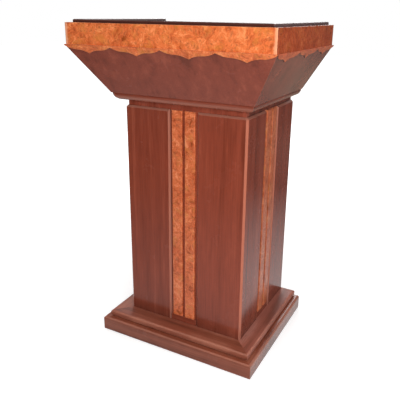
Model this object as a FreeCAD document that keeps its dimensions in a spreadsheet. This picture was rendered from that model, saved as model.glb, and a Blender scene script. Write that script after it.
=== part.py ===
"""Veneered presentation lectern: a plinth, a panelled column with a rear cupboard, and a flared head.

The frame is in millimetres. +Z is up, the audience side faces -Y, the speaker stands at +Y.
The origin is on the floor, under the middle of the lectern's overall width and depth.
"""
import FreeCAD, Part
import math
import os

import Sketcher

V = FreeCAD.Vector
SNAP = 0.01  # how near an edge has to lie to a named plane to be picked, mm
MARGIN = 5.0  # how far a cutting sketch runs past the piece that it cuts, mm

# Every driving size, in millimetres or degrees, in the order in which they stand in the sheet.
SIZES = {
    # timber
    "board": 18.0,  # carcass and head boards
    "panel_thick": 9.0,  # applied panels and strips on the column
    "panel_bevel": 6.5,  # bevel round the free edges of a panel
    "corner_bevel": 6.5,  # bevel down the column's front corners
    "eased_edge": 1.5,  # rounding of an ordinary corner
    # column
    "column_width": 460.0,  # over the side panels
    "column_depth": 417.0,  # front panels to the rear plane
    "column_height": 836.0,  # stage to hopper
    "neck_drop": 44.0,  # bare neck between panels and hopper
    "strip_width": 39.0,
    "strip_gap": 10.0,  # between the two strips of a pair
    "strip_groove": 8.0,  # between a strip and a panel
    "strip_round": 2.5,
    "foot_height": 24.0,  # block under a pair of strips
    "foot_set_in": 1.5,
    # plinth and stage
    "plinth_height": 55.0,
    "plinth_rail": 32.0,
    "plinth_proud": 20.0,  # beyond the stage, front and sides
    "plinth_rear": 3.0,  # beyond the stage, rear
    "plinth_round": 8.0,
    "glue_block": 60.0,  # leg of a corner block
    "pad_height": 3.0,
    "pad_side": 24.0,
    "pad_inset": 60.0,
    "stage_thick": 23.0,
    "stage_side": 57.0,  # beyond the column's panels
    "stage_front": 63.0,
    "stage_rear": 9.0,
    "stage_quirk": 4.0,  # depth of the shadow groove under the stage's edge
    "stage_quirk_height": 5.0,
    "stage_round": 8.0,
    # hopper
    "hopper_height": 159.0,
    "hopper_lip": 33.0,  # hopper's lower edge beyond the panels
    "hopper_flare": 100.5,  # upper edge beyond the lower one
    "moulding_quirk": 4.0,  # step between hopper and moulding
    "moulding_round": 25.0,
    # burl band, apron and rim
    "band_height": 67.0,
    "band_set_in": 4.5,  # inside the hopper's upper edge
    "apron_thick": 3.0,
    "lobe_root": 3.0,  # apron left above the points between the lobes
    "lobe_drop": 27.0,  # from there to a lobe's tip, along the slope
    "rim_thick": 15.0,
    "rim_rise": 10.0,  # above the band
    "rim_round": 4.0,
    # desk
    "desk_front_drop": 14.0,  # desk's upper edge under the rim's top
    "desk_fall": 44.0,  # from its front edge to its rear edge
    "desk_round": 4.0,
    "stop_length": 460.0,
    "stop_width": 18.0,
    "stop_height": 14.0,
    "stop_inset": 12.0,
    "cleat_width": 20.0,
    "cleat_depth": 25.0,
    "cleat_end_gap": 20.0,
    # cupboard
    "door_gap": 2.0,
    "shelf_height": 430.0,  # shelf's underside above the stage
    "shelf_inset": 30.0,  # behind the door
    "shelf_side_gap": 1.0,
    "shelf_cleat_width": 12.0,
    "shelf_cleat_depth": 20.0,
    "shelf_cleat_inset": 25.0,
    # hinges
    "hinge_height": 64.0,
    "hinge_leaf": 1.6,
    "hinge_inset": 110.0,  # hinge's middle from the door's end
    "leaf_recess": 0.8,  # how deep a leaf lies in its board
    "leaf_cover": 1.0,  # timber left inside of a leaf
    "knuckle_radius": 3.2,
    "knuckle_clear": 3.4,  # pin axis behind the rear plane
    "knuckle_gap": 0.3,
    "hinge_pin_radius": 1.5,
    "pin_clearance": 0.05,
    "screw_radius": 1.6,
    "screw_head_radius": 3.2,
    "screw_length": 14.0,
    "screw_pitch": 44.0,
    # knob
    "knob_out": 26.0,
    "knob_radius": 14.0,
    "knob_neck_radius": 7.5,
    "knob_edge": 40.0,  # knob's axis from the door's free edge
    "knob_height": 470.0,  # above the stage
    "knob_screw_radius": 2.0,
    "knob_screw_head": 4.5,
    "knob_screw_grip": 12.0,
    # lock
    "lock_rise": 75.0,  # lock's axis above the knob's
    "lock_edge": 28.0,  # lock's axis from the door's free edge
    "lock_radius": 9.5,
    "lock_flange_radius": 12.5,
    "lock_flange": 2.0,
    "plug_radius": 6.0,
    "plug_clearance": 0.05,
    "plug_tail": 5.0,  # side of the plug's squared tail
    "keyway_width": 1.6,
    "keyway_height": 8.0,
    "keyway_depth": 1.2,
    "cam_thick": 1.8,
    "cam_width": 12.0,
    "cam_edge": 1.0,  # turned cam's tip inside the door's free edge
    "cam_clear": 1.4,
    "keeper_thick": 1.5,
    "keeper_reach": 12.0,
    "keeper_leg": 24.0,
    "keeper_height": 30.0,
    # catch
    "catch_width": 14.0,
    "catch_depth": 16.0,
    "catch_height": 46.0,
    "catch_drop": 45.0,  # catch's middle under the door's top
    "catch_air": 0.3,
    "catch_plate_thick": 1.5,
    "catch_plate_height": 28.0,
    "catch_plate_width": 12.0,
}


class Dim:
    """A number together with the sheet expression that gives it."""

    def __init__(self, value, text):
        self.value = float(value)
        self.text = text

    def __float__(self):
        return self.value

    def __add__(self, other):
        other = as_dim(other)
        return Dim(self.value + other.value, f"({self.text} + {other.text})")

    def __radd__(self, other):
        return as_dim(other) + self

    def __sub__(self, other):
        other = as_dim(other)
        return Dim(self.value - other.value, f"({self.text} - {other.text})")

    def __rsub__(self, other):
        return as_dim(other) - self

    def __mul__(self, other):
        other = as_dim(other)
        return Dim(self.value * other.value, f"({self.text} * {other.text})")

    def __rmul__(self, other):
        return as_dim(other) * self

    def __truediv__(self, other):
        other = as_dim(other)
        return Dim(self.value / other.value, f"({self.text} / {other.text})")

    def __neg__(self):
        return Dim(-self.value, f"(0 - {self.text})")


def as_dim(number):
    """A plain number as a Dim; a Dim stays as it is."""
    if isinstance(number, Dim):
        return number
    return Dim(number, f"({number!r})")


def hypotenuse(a, b):
    """Length of the slant over two legs."""
    a, b = as_dim(a), as_dim(b)
    return Dim(math.hypot(a.value, b.value), f"sqrt({a.text} ^ 2 + {b.text} ^ 2)")


def slant_angle(rise, run):
    """Angle of a slant above the level, in degrees."""
    rise, run = as_dim(rise), as_dim(run)
    angle = math.degrees(math.atan2(rise.value, run.value))
    return Dim(angle, f"atan({rise.text} / {run.text}) / 1deg")


class Arc:
    """An arc from the last corner to a new one; side is +1 where its centre lies to the left."""

    def __init__(self, h, v, radius, side):
        self.end = (h, v)
        self.radius = radius
        self.side = side


# ---------------------------------------------------------------- document and sheet

doc = FreeCAD.newDocument("lectern")


def make_sheet():
    """Write every driving size to the sheet and hand back a Dim for each."""
    sheet = doc.addObject("Spreadsheet::Sheet", "sizes")
    dims = {}
    for row, (alias, value) in enumerate(SIZES.items(), start=1):
        sheet.set(f"A{row}", alias)
        sheet.set(f"B{row}", repr(value))
        sheet.setAlias(f"B{row}", alias)
        dims[alias] = Dim(value, f"sizes.{alias}")
    doc.recompute()
    return dims


S = make_sheet()
PARTS = []  # finished sub-parts, in the order in which they were made

# Planes and levels that several pieces share.
SLANT = hypotenuse(S["hopper_height"], S["hopper_flare"])
APRON_OUT = S["apron_thick"] * S["hopper_height"] / SLANT  # level reach of the apron's upper edge
FRONT_TO_REAR = S["column_depth"] + S["hopper_lip"] + S["hopper_flare"] + APRON_OUT + S["knob_out"]
REAR = FRONT_TO_REAR / 2 - S["knob_out"]  # rear plane of column and head
PANEL_FRONT = REAR - S["column_depth"]
PANEL_SIDE = S["column_width"] / 2
CARCASS_FRONT = PANEL_FRONT + S["panel_thick"]
CARCASS_SIDE = PANEL_SIDE - S["panel_thick"]
INNER_SIDE = CARCASS_SIDE - S["board"]
SIDE_MIDDLE = (PANEL_FRONT + REAR) / 2

STAGE_SIDE = PANEL_SIDE + S["stage_side"]
STAGE_FRONT = PANEL_FRONT - S["stage_front"]
STAGE_REAR = REAR + S["stage_rear"]
STAGE_BOTTOM = S["plinth_height"]
STAGE_TOP = STAGE_BOTTOM + S["stage_thick"]
HOPPER_BASE = STAGE_TOP + S["column_height"]
PANEL_TOP = HOPPER_BASE - S["neck_drop"]
HOPPER_TOP = HOPPER_BASE + S["hopper_height"]
BAND_TOP = HOPPER_TOP + S["band_height"]
RIM_TOP = BAND_TOP + S["rim_rise"]

# Distances out from the carcass's faces, as the pieces round the head use them.
LIP_OUT = S["panel_thick"] + S["hopper_lip"]
FLARE_OUT = LIP_OUT + S["hopper_flare"]
BAND_OUT = FLARE_OUT - S["band_set_in"]
RIM_OUT = BAND_OUT - S["board"]
RIM_IN = RIM_OUT - S["rim_thick"]
HOPPER_WALL = S["board"] * SLANT / S["hopper_height"]  # level thickness of a sloping board

DOOR_SIDE = INNER_SIDE - S["door_gap"]
DOOR_BOTTOM = STAGE_TOP + S["board"] + S["door_gap"]
DOOR_TOP = PANEL_TOP - S["door_gap"]
DOOR_INSIDE = REAR - S["board"]
KNOB_X = S["knob_edge"] - DOOR_SIDE
KNOB_Z = STAGE_TOP + S["knob_height"]
LOCK_X = S["lock_edge"] - DOOR_SIDE
LOCK_Z = KNOB_Z + S["lock_rise"]
HINGE_X = (INNER_SIDE + DOOR_SIDE) / 2
HINGE_Y = REAR + S["knuckle_clear"]
HINGE_LEVELS = (DOOR_BOTTOM + S["hinge_inset"], DOOR_TOP - S["hinge_inset"])


# ---------------------------------------------------------------- building helpers

def finished(feature, name):
    """Name a sub-part and put it on the list of pieces to write."""
    feature.Label = name
    PARTS.append(feature)
    return feature


def bind(target, prop, dim):
    """Drive one property by a size."""
    target.setExpression(prop, as_dim(dim).text)


def bind_position(target, x=0, y=0, z=0):
    """Drive a primitive's position by sizes."""
    for axis, dim in zip("xyz", (x, y, z)):
        bind(target, f"Placement.Base.{axis}", dim)


def box(name, low, high):
    """Rectangular solid between two corners."""
    solid = doc.addObject("Part::Box", name)
    for prop, a, b in zip(("Length", "Width", "Height"), low, high):
        bind(solid, prop, as_dim(b) - a)
    bind_position(solid, *low)
    return solid


def cylinder(name, radius, start, length, axis="Z"):
    """Round bar from a point along +X, -X, +Y, -Y or +Z."""
    solid = doc.addObject("Part::Cylinder", name)
    bind(solid, "Radius", radius)
    bind(solid, "Height", length)
    turns = {
        "Z": FreeCAD.Rotation(),
        "X": FreeCAD.Rotation(V(0, 1, 0), 90),
        "-X": FreeCAD.Rotation(V(0, 1, 0), -90),
        "Y": FreeCAD.Rotation(V(1, 0, 0), -90),
        "-Y": FreeCAD.Rotation(V(1, 0, 0), 90),
    }
    solid.Placement = FreeCAD.Placement(V(), turns[axis])
    bind_position(solid, *start)
    return solid


def fuse(name, shapes):
    """Boolean union."""
    union = doc.addObject("Part::MultiFuse", name)
    union.Shapes = shapes
    return union


def cut(name, base, tool):
    """Boolean difference."""
    difference = doc.addObject("Part::Cut", name)
    difference.Base = base
    difference.Tool = tool
    return difference


def group(name, shapes):
    """Separate solids that share one node."""
    compound = doc.addObject("Part::Compound", name)
    compound.Links = shapes
    return compound


def new_body(name):
    """An empty body."""
    return doc.addObject("PartDesign::Body", name)


def origin_plane(body, role):
    """One of the body's own origin planes."""
    return next(f for f in body.Origin.OriginFeatures if f.Role == role)


def arc_edge(start, arc):
    """Arc of a given radius between two corners, for a sketch."""
    end = V(float(arc.end[0]), float(arc.end[1]), 0)
    chord = end - start
    radius = max(float(arc.radius), chord.Length / 2)
    to_centre = V(-chord.y, chord.x, 0).normalize() * arc.side
    centre = (start + end) / 2 + to_centre * math.sqrt(radius**2 - chord.Length**2 / 4)
    middle = centre - to_centre * radius
    return Part.Arc(start, middle, end)


def add_outline(sketch, points, corners):
    """Draw the lines and arcs from corner to corner; each corner says how it is reached."""
    count = len(corners)
    for i in range(count):
        step = corners[(i + 1) % count]
        if isinstance(step, Arc):
            edge = arc_edge(points[i], step)
        else:
            edge = Part.LineSegment(points[i], points[(i + 1) % count])
        sketch.addGeometry(edge)


def join_outline(sketch, points):
    """Join each edge to the next, and hand back which end of each edge starts it.

    An arc that turns clockwise is stored from its far end, so the ends are looked up.
    """
    count = len(points)
    starts = []
    for i, point in enumerate(points):
        near, far = sketch.getPoint(i, 1), sketch.getPoint(i, 2)
        starts.append(2 if (near - point).Length > (far - point).Length else 1)
    for i in range(count):
        follower = (i + 1) % count
        sketch.addConstraint(
            Sketcher.Constraint("Coincident", i, 3 - starts[i], follower, starts[follower])
        )
    return starts


def drive_outline(sketch, corners, ends, starts):
    """Bind each corner's place and each arc's radius to the sheet."""
    for i, (h, v) in enumerate(ends):
        for kind, dim in (("DistanceX", h), ("DistanceY", v)):
            index = sketch.addConstraint(Sketcher.Constraint(kind, i, starts[i], float(dim)))
            bind(sketch, f"Constraints[{index}]", dim)
        step = corners[(i + 1) % len(corners)]
        if isinstance(step, Arc):
            index = sketch.addConstraint(Sketcher.Constraint("Radius", i, float(step.radius)))
            bind(sketch, f"Constraints[{index}]", step.radius)


def closed_sketch(body, name, role, offset, corners):
    """Closed outline of lines and arcs whose corners and radii are driven by the sheet."""
    sketch = body.newObject("Sketcher::SketchObject", name)
    sketch.AttachmentSupport = [(origin_plane(body, role), "")]
    sketch.MapMode = "FlatFace"
    bind(sketch, "AttachmentOffset.Base.z", offset)
    ends = [corner.end if isinstance(corner, Arc) else corner for corner in corners]
    points = [V(float(h), float(v), 0) for h, v in ends]
    add_outline(sketch, points, corners)
    starts = join_outline(sketch, points)
    drive_outline(sketch, corners, ends, starts)
    return sketch


PLANES = {"X": ("YZ_Plane", 1), "Y": ("XZ_Plane", -1), "Z": ("XY_Plane", 1)}


def pad(body, name, axis, start, end, corners):
    """Outline drawn across an axis and run along it from start to end."""
    role, sense = PLANES[axis]
    offset = as_dim(start) if sense > 0 else -as_dim(end)
    feature = body.newObject("PartDesign::Pad", name)
    feature.Profile = closed_sketch(body, name + "_outline", role, offset, corners)
    bind(feature, "Length", as_dim(end) - start)
    doc.recompute()
    return feature


def pocket(body, name, axis, start, end, corners):
    """Outline drawn across an axis and cut out from start to end; it has to take something away."""
    role, sense = PLANES[axis]
    offset = as_dim(end) if sense > 0 else -as_dim(start)
    before = body.Shape.Volume
    feature = body.newObject("PartDesign::Pocket", name)
    feature.Profile = closed_sketch(body, name + "_outline", role, offset, corners)
    bind(feature, "Length", as_dim(end) - start)
    doc.recompute()
    if not body.Shape.Volume < before:
        raise ValueError(f"{body.Name}: {name} cuts nothing")
    return feature


def rectangle(low_h, low_v, high_h, high_v):
    """Corners of an upright rectangle."""
    return [(low_h, low_v), (high_h, low_v), (high_h, high_v), (low_h, high_v)]


def block(name, low, high):
    """Rectangular board as a body, ready for more features."""
    body = new_body(name)
    outline = rectangle(low[0], low[1], high[0], high[1])
    pad(body, name + "_pad", "Z", low[2], high[2], outline)
    return body


def edges_at(shape, **places):
    """Names of the edges at every one of the places: planes such as x=3 or spans such as y=(5, 9)."""
    names = []
    for number, edge in enumerate(shape.Edges, start=1):
        bounds = edge.BoundBox
        near = True
        for axis, place in places.items():
            ends = sorted(place, key=float) if isinstance(place, tuple) else (place, place)
            low = getattr(bounds, axis.upper() + "Min")
            high = getattr(bounds, axis.upper() + "Max")
            near = near and abs(low - float(ends[0])) < SNAP and abs(high - float(ends[1])) < SNAP
        if near:
            names.append(f"Edge{number}")
    if not names:
        raise ValueError(f"no edge at {places}")
    return names


def dress(body, kind, names, size):
    """Fillet or chamfer on named edges of the body as it stands."""
    base = body.Tip
    feature = body.newObject(f"PartDesign::{kind}", f"{body.Name}_{kind.lower()}")
    feature.Base = (base, names)
    bind(feature, "Radius" if kind == "Fillet" else "Size", size)
    doc.recompute()
    return feature


# ---------------------------------------------------------------- pieces that run round three sides

def side_sign(side):
    """-1 for the left piece and +1 for the right one, as seen from the audience."""
    return -1 if side == "left" else 1


def mitre_corners(side, half, front, inner, outer, keep_front):
    """Triangle that takes away what lies past the mitre at one front corner."""
    sign = side_sign(side)
    a = as_dim(inner) + MARGIN
    b = as_dim(outer) + MARGIN
    inside = (sign * (half - a), front + a)
    outside = (sign * (half + b), front - b)
    waste = (sign * (half + b), front + a) if keep_front else (sign * (half - a), front - b)
    return [inside, outside, waste] if (sign > 0) == keep_front else [inside, waste, outside]


def run_piece(name, side, half, front, rear, profile, inner, outer):
    """Length of a profile along the front or one side, mitred where it meets its neighbour.

    The profile's corners are (distance out from the reference faces, height). The reference
    faces stand at x = +-half and y = front; inner and outer bound the profile's distances.
    """
    body = new_body(name)
    reach = half + outer
    heights = [float(c.end[1] if isinstance(c, Arc) else c[1]) for c in profile]
    floor = as_dim(min(heights) - MARGIN)
    ceiling = as_dim(max(heights) + MARGIN)
    if side == "front":
        outline = placed_profile(profile, lambda out: front - out, mirrored=True)
        pad(body, name + "_run", "X", -reach, reach, outline)
        mitred_ends = ("left", "right")
    else:
        sign = side_sign(side)
        outline = placed_profile(profile, lambda out: sign * (half + out), mirrored=sign < 0)
        pad(body, name + "_run", "Y", front - outer, rear, outline)
        mitred_ends = (side,)
    for end in mitred_ends:
        corners = mitre_corners(end, half, front, inner, outer, side == "front")
        pocket(body, f"{name}_mitre_{end}", "Z", floor, ceiling, corners)
    return body


def placed_profile(profile, place, mirrored):
    """Profile corners moved from distance out to a coordinate; arcs turn over when mirrored."""
    corners = []
    for corner in profile:
        if isinstance(corner, Arc):
            out, height = corner.end
            side = -corner.side if mirrored else corner.side
            corners.append(Arc(place(out), height, corner.radius, side))
        else:
            corners.append((place(corner[0]), corner[1]))
    return corners


def three_sides(stem, half, front, rear, profile, inner, outer):
    """The front, left and right pieces of one run."""
    return {
        side: run_piece(f"{stem}_{side}", side, half, front, rear, profile, inner, outer)
        for side in ("front", "left", "right")
    }


# ---------------------------------------------------------------- plinth and stage

def make_plinth():
    """Four rails round the floor, rounded along the top, with blocks glued in the corners."""
    proud, rail, radius = S["plinth_proud"], S["plinth_rail"], S["plinth_round"]
    low, high = S["pad_height"], S["plinth_height"]
    profile = [
        (proud - rail, low),
        (proud, low),
        (proud, high - radius),
        Arc(proud - radius, high, radius, 1),
        (proud - rail, high),
    ]
    rear = STAGE_REAR + S["plinth_rear"]
    rails = three_sides("plinth_rail", STAGE_SIDE, STAGE_FRONT, rear, profile, rail - proud, proud)
    for side, body in rails.items():
        finished(body, f"plinth_rail_{side}")
    inner = STAGE_SIDE + proud - rail
    back = new_body("plinth_rail_rear")
    outline = [
        (rear - rail, low),
        (rear, low),
        (rear, high - radius),
        Arc(rear - radius, high, radius, 1),
        (rear - rail, high),
    ]
    pad(back, "plinth_rear_run", "X", -inner, inner, outline)
    finished(back, "plinth_rail_rear")
    make_corner_blocks(inner, STAGE_FRONT - proud + rail, rear - rail)
    make_pads(STAGE_SIDE + proud - rail / 2, STAGE_FRONT - proud, rear)


def make_corner_blocks(side, front, rear):
    """Triangular blocks in the plinth's four inner corners."""
    leg, low, high = S["glue_block"], S["pad_height"] + MARGIN, S["plinth_height"]
    blocks = []
    for sign in (-1, 1):
        for end, inward in ((front, 1), (rear, -1)):
            body = new_body(f"corner_block_{len(blocks)}")
            corner = (sign * side, end)
            along_side = (sign * side, end + inward * leg)
            along_end = (sign * (side - leg), end)
            corners = [corner, along_side, along_end]
            if sign * inward < 0:
                corners = [corner, along_end, along_side]
            pad(body, f"corner_block_pad_{len(blocks)}", "Z", low, high, corners)
            blocks.append(body)
    finished(group("plinth_corner_blocks", blocks), "plinth_corner_blocks")


def make_pads(side, front, rear):
    """Four square pads under the side rails."""
    half, high, inset = S["pad_side"] / 2, S["pad_height"], S["pad_inset"]
    pads = []
    for sign in (-1, 1):
        for y in (front + inset, rear - inset):
            low = (sign * side - half, y - half, 0)
            pads.append(box(f"pad_{len(pads)}", low, (sign * side + half, y + half, high)))
    finished(group("base_pads", pads), "base_pads")


def make_stage():
    """Stepped board on the plinth: a shadow groove below, a rounded nose above."""
    quirk = S["stage_quirk"]
    split = STAGE_BOTTOM + S["stage_quirk_height"]
    body = new_body("stage_board")
    lower = rectangle(quirk - STAGE_SIDE, STAGE_FRONT + quirk, STAGE_SIDE - quirk, STAGE_REAR - quirk)
    upper = rectangle(-STAGE_SIDE, STAGE_FRONT, STAGE_SIDE, STAGE_REAR)
    pad(body, "stage_core", "Z", STAGE_BOTTOM, STAGE_TOP, lower)
    pad(body, "stage_nose", "Z", split, STAGE_TOP, upper)
    dress(body, "Fillet", edges_at(body.Shape, z=STAGE_TOP), S["stage_round"])
    finished(body, "stage_board")


# ---------------------------------------------------------------- column

def make_carcass():
    """Front, sides, bottom and rear header: the box that carries the head."""
    board = S["board"]
    front_inside = CARCASS_FRONT + board
    front = block(
        "carcass_front",
        (-CARCASS_SIDE, CARCASS_FRONT, STAGE_TOP),
        (CARCASS_SIDE, front_inside, HOPPER_BASE),
    )
    finished(front, "carcass_front")
    for sign, side in ((-1, "left"), (1, "right")):
        low, high = sorted((sign * INNER_SIDE, sign * CARCASS_SIDE), key=float)
        name = f"carcass_{side}" if sign < 0 else "hinge_side_board"
        body = block(name, (low, front_inside, STAGE_TOP), (high, REAR, HOPPER_BASE))
        if sign < 0:
            finished(body, name)
            continue
        cut_leaf_recesses(body, "side", INNER_SIDE, INNER_SIDE + S["leaf_recess"])
        drilled = cut(f"carcass_{side}", body, group("side_holes", screw_solids("frame_hole", 1)))
        finished(drilled, f"carcass_{side}")
    floor = box(
        "carcass_bottom",
        (-INNER_SIDE, front_inside, STAGE_TOP),
        (INNER_SIDE, REAR, STAGE_TOP + board),
    )
    finished(floor, "carcass_bottom")
    header = box("rear_header_rail", (-INNER_SIDE, DOOR_INSIDE, PANEL_TOP), (INNER_SIDE, REAR, HOPPER_BASE))
    finished(header, "rear_header_rail")


def strip_edges():
    """Where, out from a face's middle, the strips and the panels begin and end."""
    near = S["strip_gap"] / 2
    far = near + S["strip_width"]
    return near, far, far + S["strip_groove"]


def corner_points(sign):
    """The column's bevelled front corner: where it leaves the front, its middle and the side."""
    bevel = S["corner_bevel"]
    return (
        (sign * (PANEL_SIDE - bevel), PANEL_FRONT),
        (sign * (PANEL_SIDE - bevel / 2), PANEL_FRONT + bevel / 2),
        (sign * PANEL_SIDE, PANEL_FRONT + bevel),
    )


def bevel_top(shape, start, end):
    """The edge where the corner's bevel meets the top of a panel."""
    return edges_at(shape, x=(start[0], end[0]), y=(start[1], end[1]), z=PANEL_TOP)


def make_front_panels():
    """Two bevelled panels on the front, mitred at the column's corners."""
    near = strip_edges()[2]
    for side in ("left", "right"):
        sign = side_sign(side)
        body = new_body(f"panel_front_{side}")
        on_front, middle, _ = corner_points(sign)
        corners = [
            (sign * near, CARCASS_FRONT),
            (sign * near, PANEL_FRONT),
            on_front,
            middle,
            (sign * CARCASS_SIDE, CARCASS_FRONT),
        ]
        pad(body, f"front_panel_{side}", "Z", STAGE_TOP, PANEL_TOP, ordered(corners, sign))
        free = edges_at(body.Shape, y=PANEL_FRONT, z=PANEL_TOP)
        free += bevel_top(body.Shape, on_front, middle)
        free += edges_at(body.Shape, x=sign * near, y=PANEL_FRONT)
        dress(body, "Chamfer", free, S["panel_bevel"])
        finished(body, f"panel_front_{side}")


def make_side_panels():
    """Two bevelled panels on each side; the front one is mitred, the rear one ends square."""
    near = strip_edges()[2]
    for side in ("left", "right"):
        sign = side_sign(side)
        _, middle, on_side = corner_points(sign)
        mitred = [
            (sign * CARCASS_SIDE, SIDE_MIDDLE - near),
            (sign * CARCASS_SIDE, CARCASS_FRONT),
            middle,
            on_side,
            (sign * PANEL_SIDE, SIDE_MIDDLE - near),
        ]
        square = [
            (sign * CARCASS_SIDE, REAR),
            (sign * CARCASS_SIDE, SIDE_MIDDLE + near),
            (sign * PANEL_SIDE, SIDE_MIDDLE + near),
            (sign * PANEL_SIDE, REAR),
        ]
        for end, corners, edge in (
            ("front", mitred, SIDE_MIDDLE - near),
            ("rear", square, SIDE_MIDDLE + near),
        ):
            name = f"panel_{side}_{end}"
            body = new_body(name)
            pad(body, name + "_pad", "Z", STAGE_TOP, PANEL_TOP, ordered(corners, sign))
            free = edges_at(body.Shape, x=sign * PANEL_SIDE, z=PANEL_TOP)
            if end == "front":
                free += bevel_top(body.Shape, middle, on_side)
            free += edges_at(body.Shape, x=sign * PANEL_SIDE, y=edge)
            dress(body, "Chamfer", free, S["panel_bevel"])
            finished(body, name)


def ordered(corners, sign):
    """The corners in the same turning sense on both sides of the middle."""
    return corners if sign > 0 else corners[::-1]


def make_strips():
    """A pair of burl strips in the middle of each face."""
    near, far, _ = strip_edges()
    bottom = STAGE_TOP + S["foot_height"]
    for side, sign in (("left", -1), ("right", 1)):
        low, high = sorted((sign * near, sign * far), key=float)
        strip = block(
            f"strip_front_{side}", (low, PANEL_FRONT, bottom), (high, CARCASS_FRONT, PANEL_TOP)
        )
        round_strip(strip, "y", PANEL_FRONT, (("x", low), ("x", high)))
    for side in ("left", "right"):
        sign = side_sign(side)
        inner, outer = sorted((sign * CARCASS_SIDE, sign * PANEL_SIDE), key=float)
        for end, toward in (("front", -1), ("rear", 1)):
            low, high = sorted((SIDE_MIDDLE + toward * near, SIDE_MIDDLE + toward * far), key=float)
            strip = block(f"strip_{side}_{end}", (inner, low, bottom), (outer, high, PANEL_TOP))
            round_strip(strip, "x", sign * PANEL_SIDE, (("y", low), ("y", high)))


def round_strip(strip, face_axis, face, sides):
    """Round a strip's long front edges and its top front edge."""
    names = edges_at(strip.Shape, **{face_axis: face, "z": PANEL_TOP})
    for axis, place in sides:
        names += edges_at(strip.Shape, **{face_axis: face, axis: place})
    dress(strip, "Fillet", names, S["strip_round"])
    finished(strip, strip.Name)


def make_strip_feet():
    """The blocks that the three pairs of strips stand on."""
    half = strip_edges()[2]
    top = STAGE_TOP + S["foot_height"]
    face = S["foot_set_in"]
    front = box(
        "strip_foot_front", (-half, PANEL_FRONT + face, STAGE_TOP), (half, CARCASS_FRONT, top)
    )
    feet = [front]
    for side in ("left", "right"):
        sign = side_sign(side)
        low, high = sorted((sign * CARCASS_SIDE, sign * (PANEL_SIDE - face)), key=float)
        feet.append(
            box(
                f"strip_foot_{side}",
                (low, SIDE_MIDDLE - half, STAGE_TOP),
                (high, SIDE_MIDDLE + half, top),
            )
        )
    finished(group("strip_foot_blocks", feet), "strip_foot_blocks")


# ---------------------------------------------------------------- cupboard

def shelf_rear():
    """Rear edge of the shelf, clear of the door, the catch and the lock's keeper."""
    return DOOR_INSIDE - S["shelf_inset"]


def make_shelf():
    """Loose shelf on a cleat at each side."""
    side = INNER_SIDE - S["shelf_side_gap"]
    low = STAGE_TOP + S["shelf_height"]
    shelf = block(
        "inner_shelf",
        (-side, CARCASS_FRONT + S["board"] + S["shelf_side_gap"], low),
        (side, shelf_rear(), low + S["board"]),
    )
    names = edges_at(shelf.Shape, y=shelf_rear(), z=low) + edges_at(
        shelf.Shape, y=shelf_rear(), z=low + S["board"]
    )
    dress(shelf, "Fillet", names, S["eased_edge"])
    finished(shelf, "inner_shelf")
    front = CARCASS_FRONT + S["board"] + S["shelf_cleat_inset"]
    rear = shelf_rear() - S["shelf_cleat_inset"]
    cleats = []
    for sign in (-1, 1):
        near = INNER_SIDE - S["shelf_cleat_width"]
        inner, outer = sorted((sign * near, sign * INNER_SIDE), key=float)
        bottom = low - S["shelf_cleat_depth"]
        cleats.append(box(f"shelf_cleat_{len(cleats)}", (inner, front, bottom), (outer, rear, low)))
    finished(group("shelf_cleats", cleats), "shelf_cleats")


def cut_leaf_recesses(body, stem, low_x, high_x):
    """Shallow beds for the hinge leaves in a board's edge."""
    front = DOOR_INSIDE + S["leaf_cover"]
    half = S["hinge_height"] / 2
    for number, level in enumerate(HINGE_LEVELS):
        corners = rectangle(low_x, front, high_x, REAR)
        pocket(body, f"{stem}_recess_{number}", "Z", level - half, level + half, corners)


def make_door():
    """Inset door with beds for the hinges and holes for the lock, the knob and the screws."""
    door = block("door_board", (-DOOR_SIDE, DOOR_INSIDE, DOOR_BOTTOM), (DOOR_SIDE, REAR, DOOR_TOP))
    rim = edges_at(door.Shape, y=REAR, z=DOOR_TOP) + edges_at(door.Shape, y=REAR, z=DOOR_BOTTOM)
    rim += edges_at(door.Shape, y=REAR, x=-DOOR_SIDE)
    dress(door, "Fillet", rim, S["eased_edge"])
    cut_leaf_recesses(door, "door", DOOR_SIDE - S["leaf_recess"], DOOR_SIDE)
    lock = cylinder("lock_hole", S["lock_radius"], (LOCK_X, DOOR_INSIDE, LOCK_Z), S["board"], "Y")
    knob = cylinder(
        "knob_hole", S["knob_screw_radius"], (KNOB_X, DOOR_INSIDE, KNOB_Z), S["board"], "Y"
    )
    tools = [lock, knob] + screw_solids("door_hole", -1)
    finished(cut("door", door, group("door_holes", tools)), "door")


def screw_solids(stem, sign):
    """Countersunk hinge screws, or their holes: sign is +1 into the frame and -1 into the door."""
    axis = "X" if sign > 0 else "-X"
    face = leaf_face(sign)
    head_thick = S["hinge_leaf"]
    y = (DOOR_INSIDE + REAR) / 2
    screws = []
    for level in HINGE_LEVELS:
        for step in (-1, 1):
            z = level + step * S["screw_pitch"] / 2
            name = f"{stem}_{len(screws)}"
            neck = (face + sign * head_thick, y, z)
            length = S["screw_length"] - head_thick
            shank = cylinder(name + "_shank", S["screw_radius"], neck, length, axis)
            head = doc.addObject("Part::Cone", name + "_head")
            bind(head, "Radius1", S["screw_head_radius"])
            bind(head, "Radius2", S["screw_radius"])
            bind(head, "Height", head_thick)
            head.Placement = FreeCAD.Placement(V(), FreeCAD.Rotation(V(0, 1, 0), 90 * sign))
            bind_position(head, face, y, z)
            screws.append(fuse(name, [shank, head]))
    return screws


def leaf_face(sign):
    """Where the open face of a leaf stands: the frame's leaf at +1, the door's at -1."""
    recess = S["leaf_recess"] - S["hinge_leaf"]
    return INNER_SIDE + recess if sign > 0 else DOOR_SIDE - recess


def knuckle_span(level, sign):
    """One leaf's knuckle: the frame's is the lower half and carries the pin, the door's stands on it."""
    half, gap = S["hinge_height"] / 2, S["knuckle_gap"] / 2
    return (level - half, level - gap) if sign > 0 else (level + gap, level + half)


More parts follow.
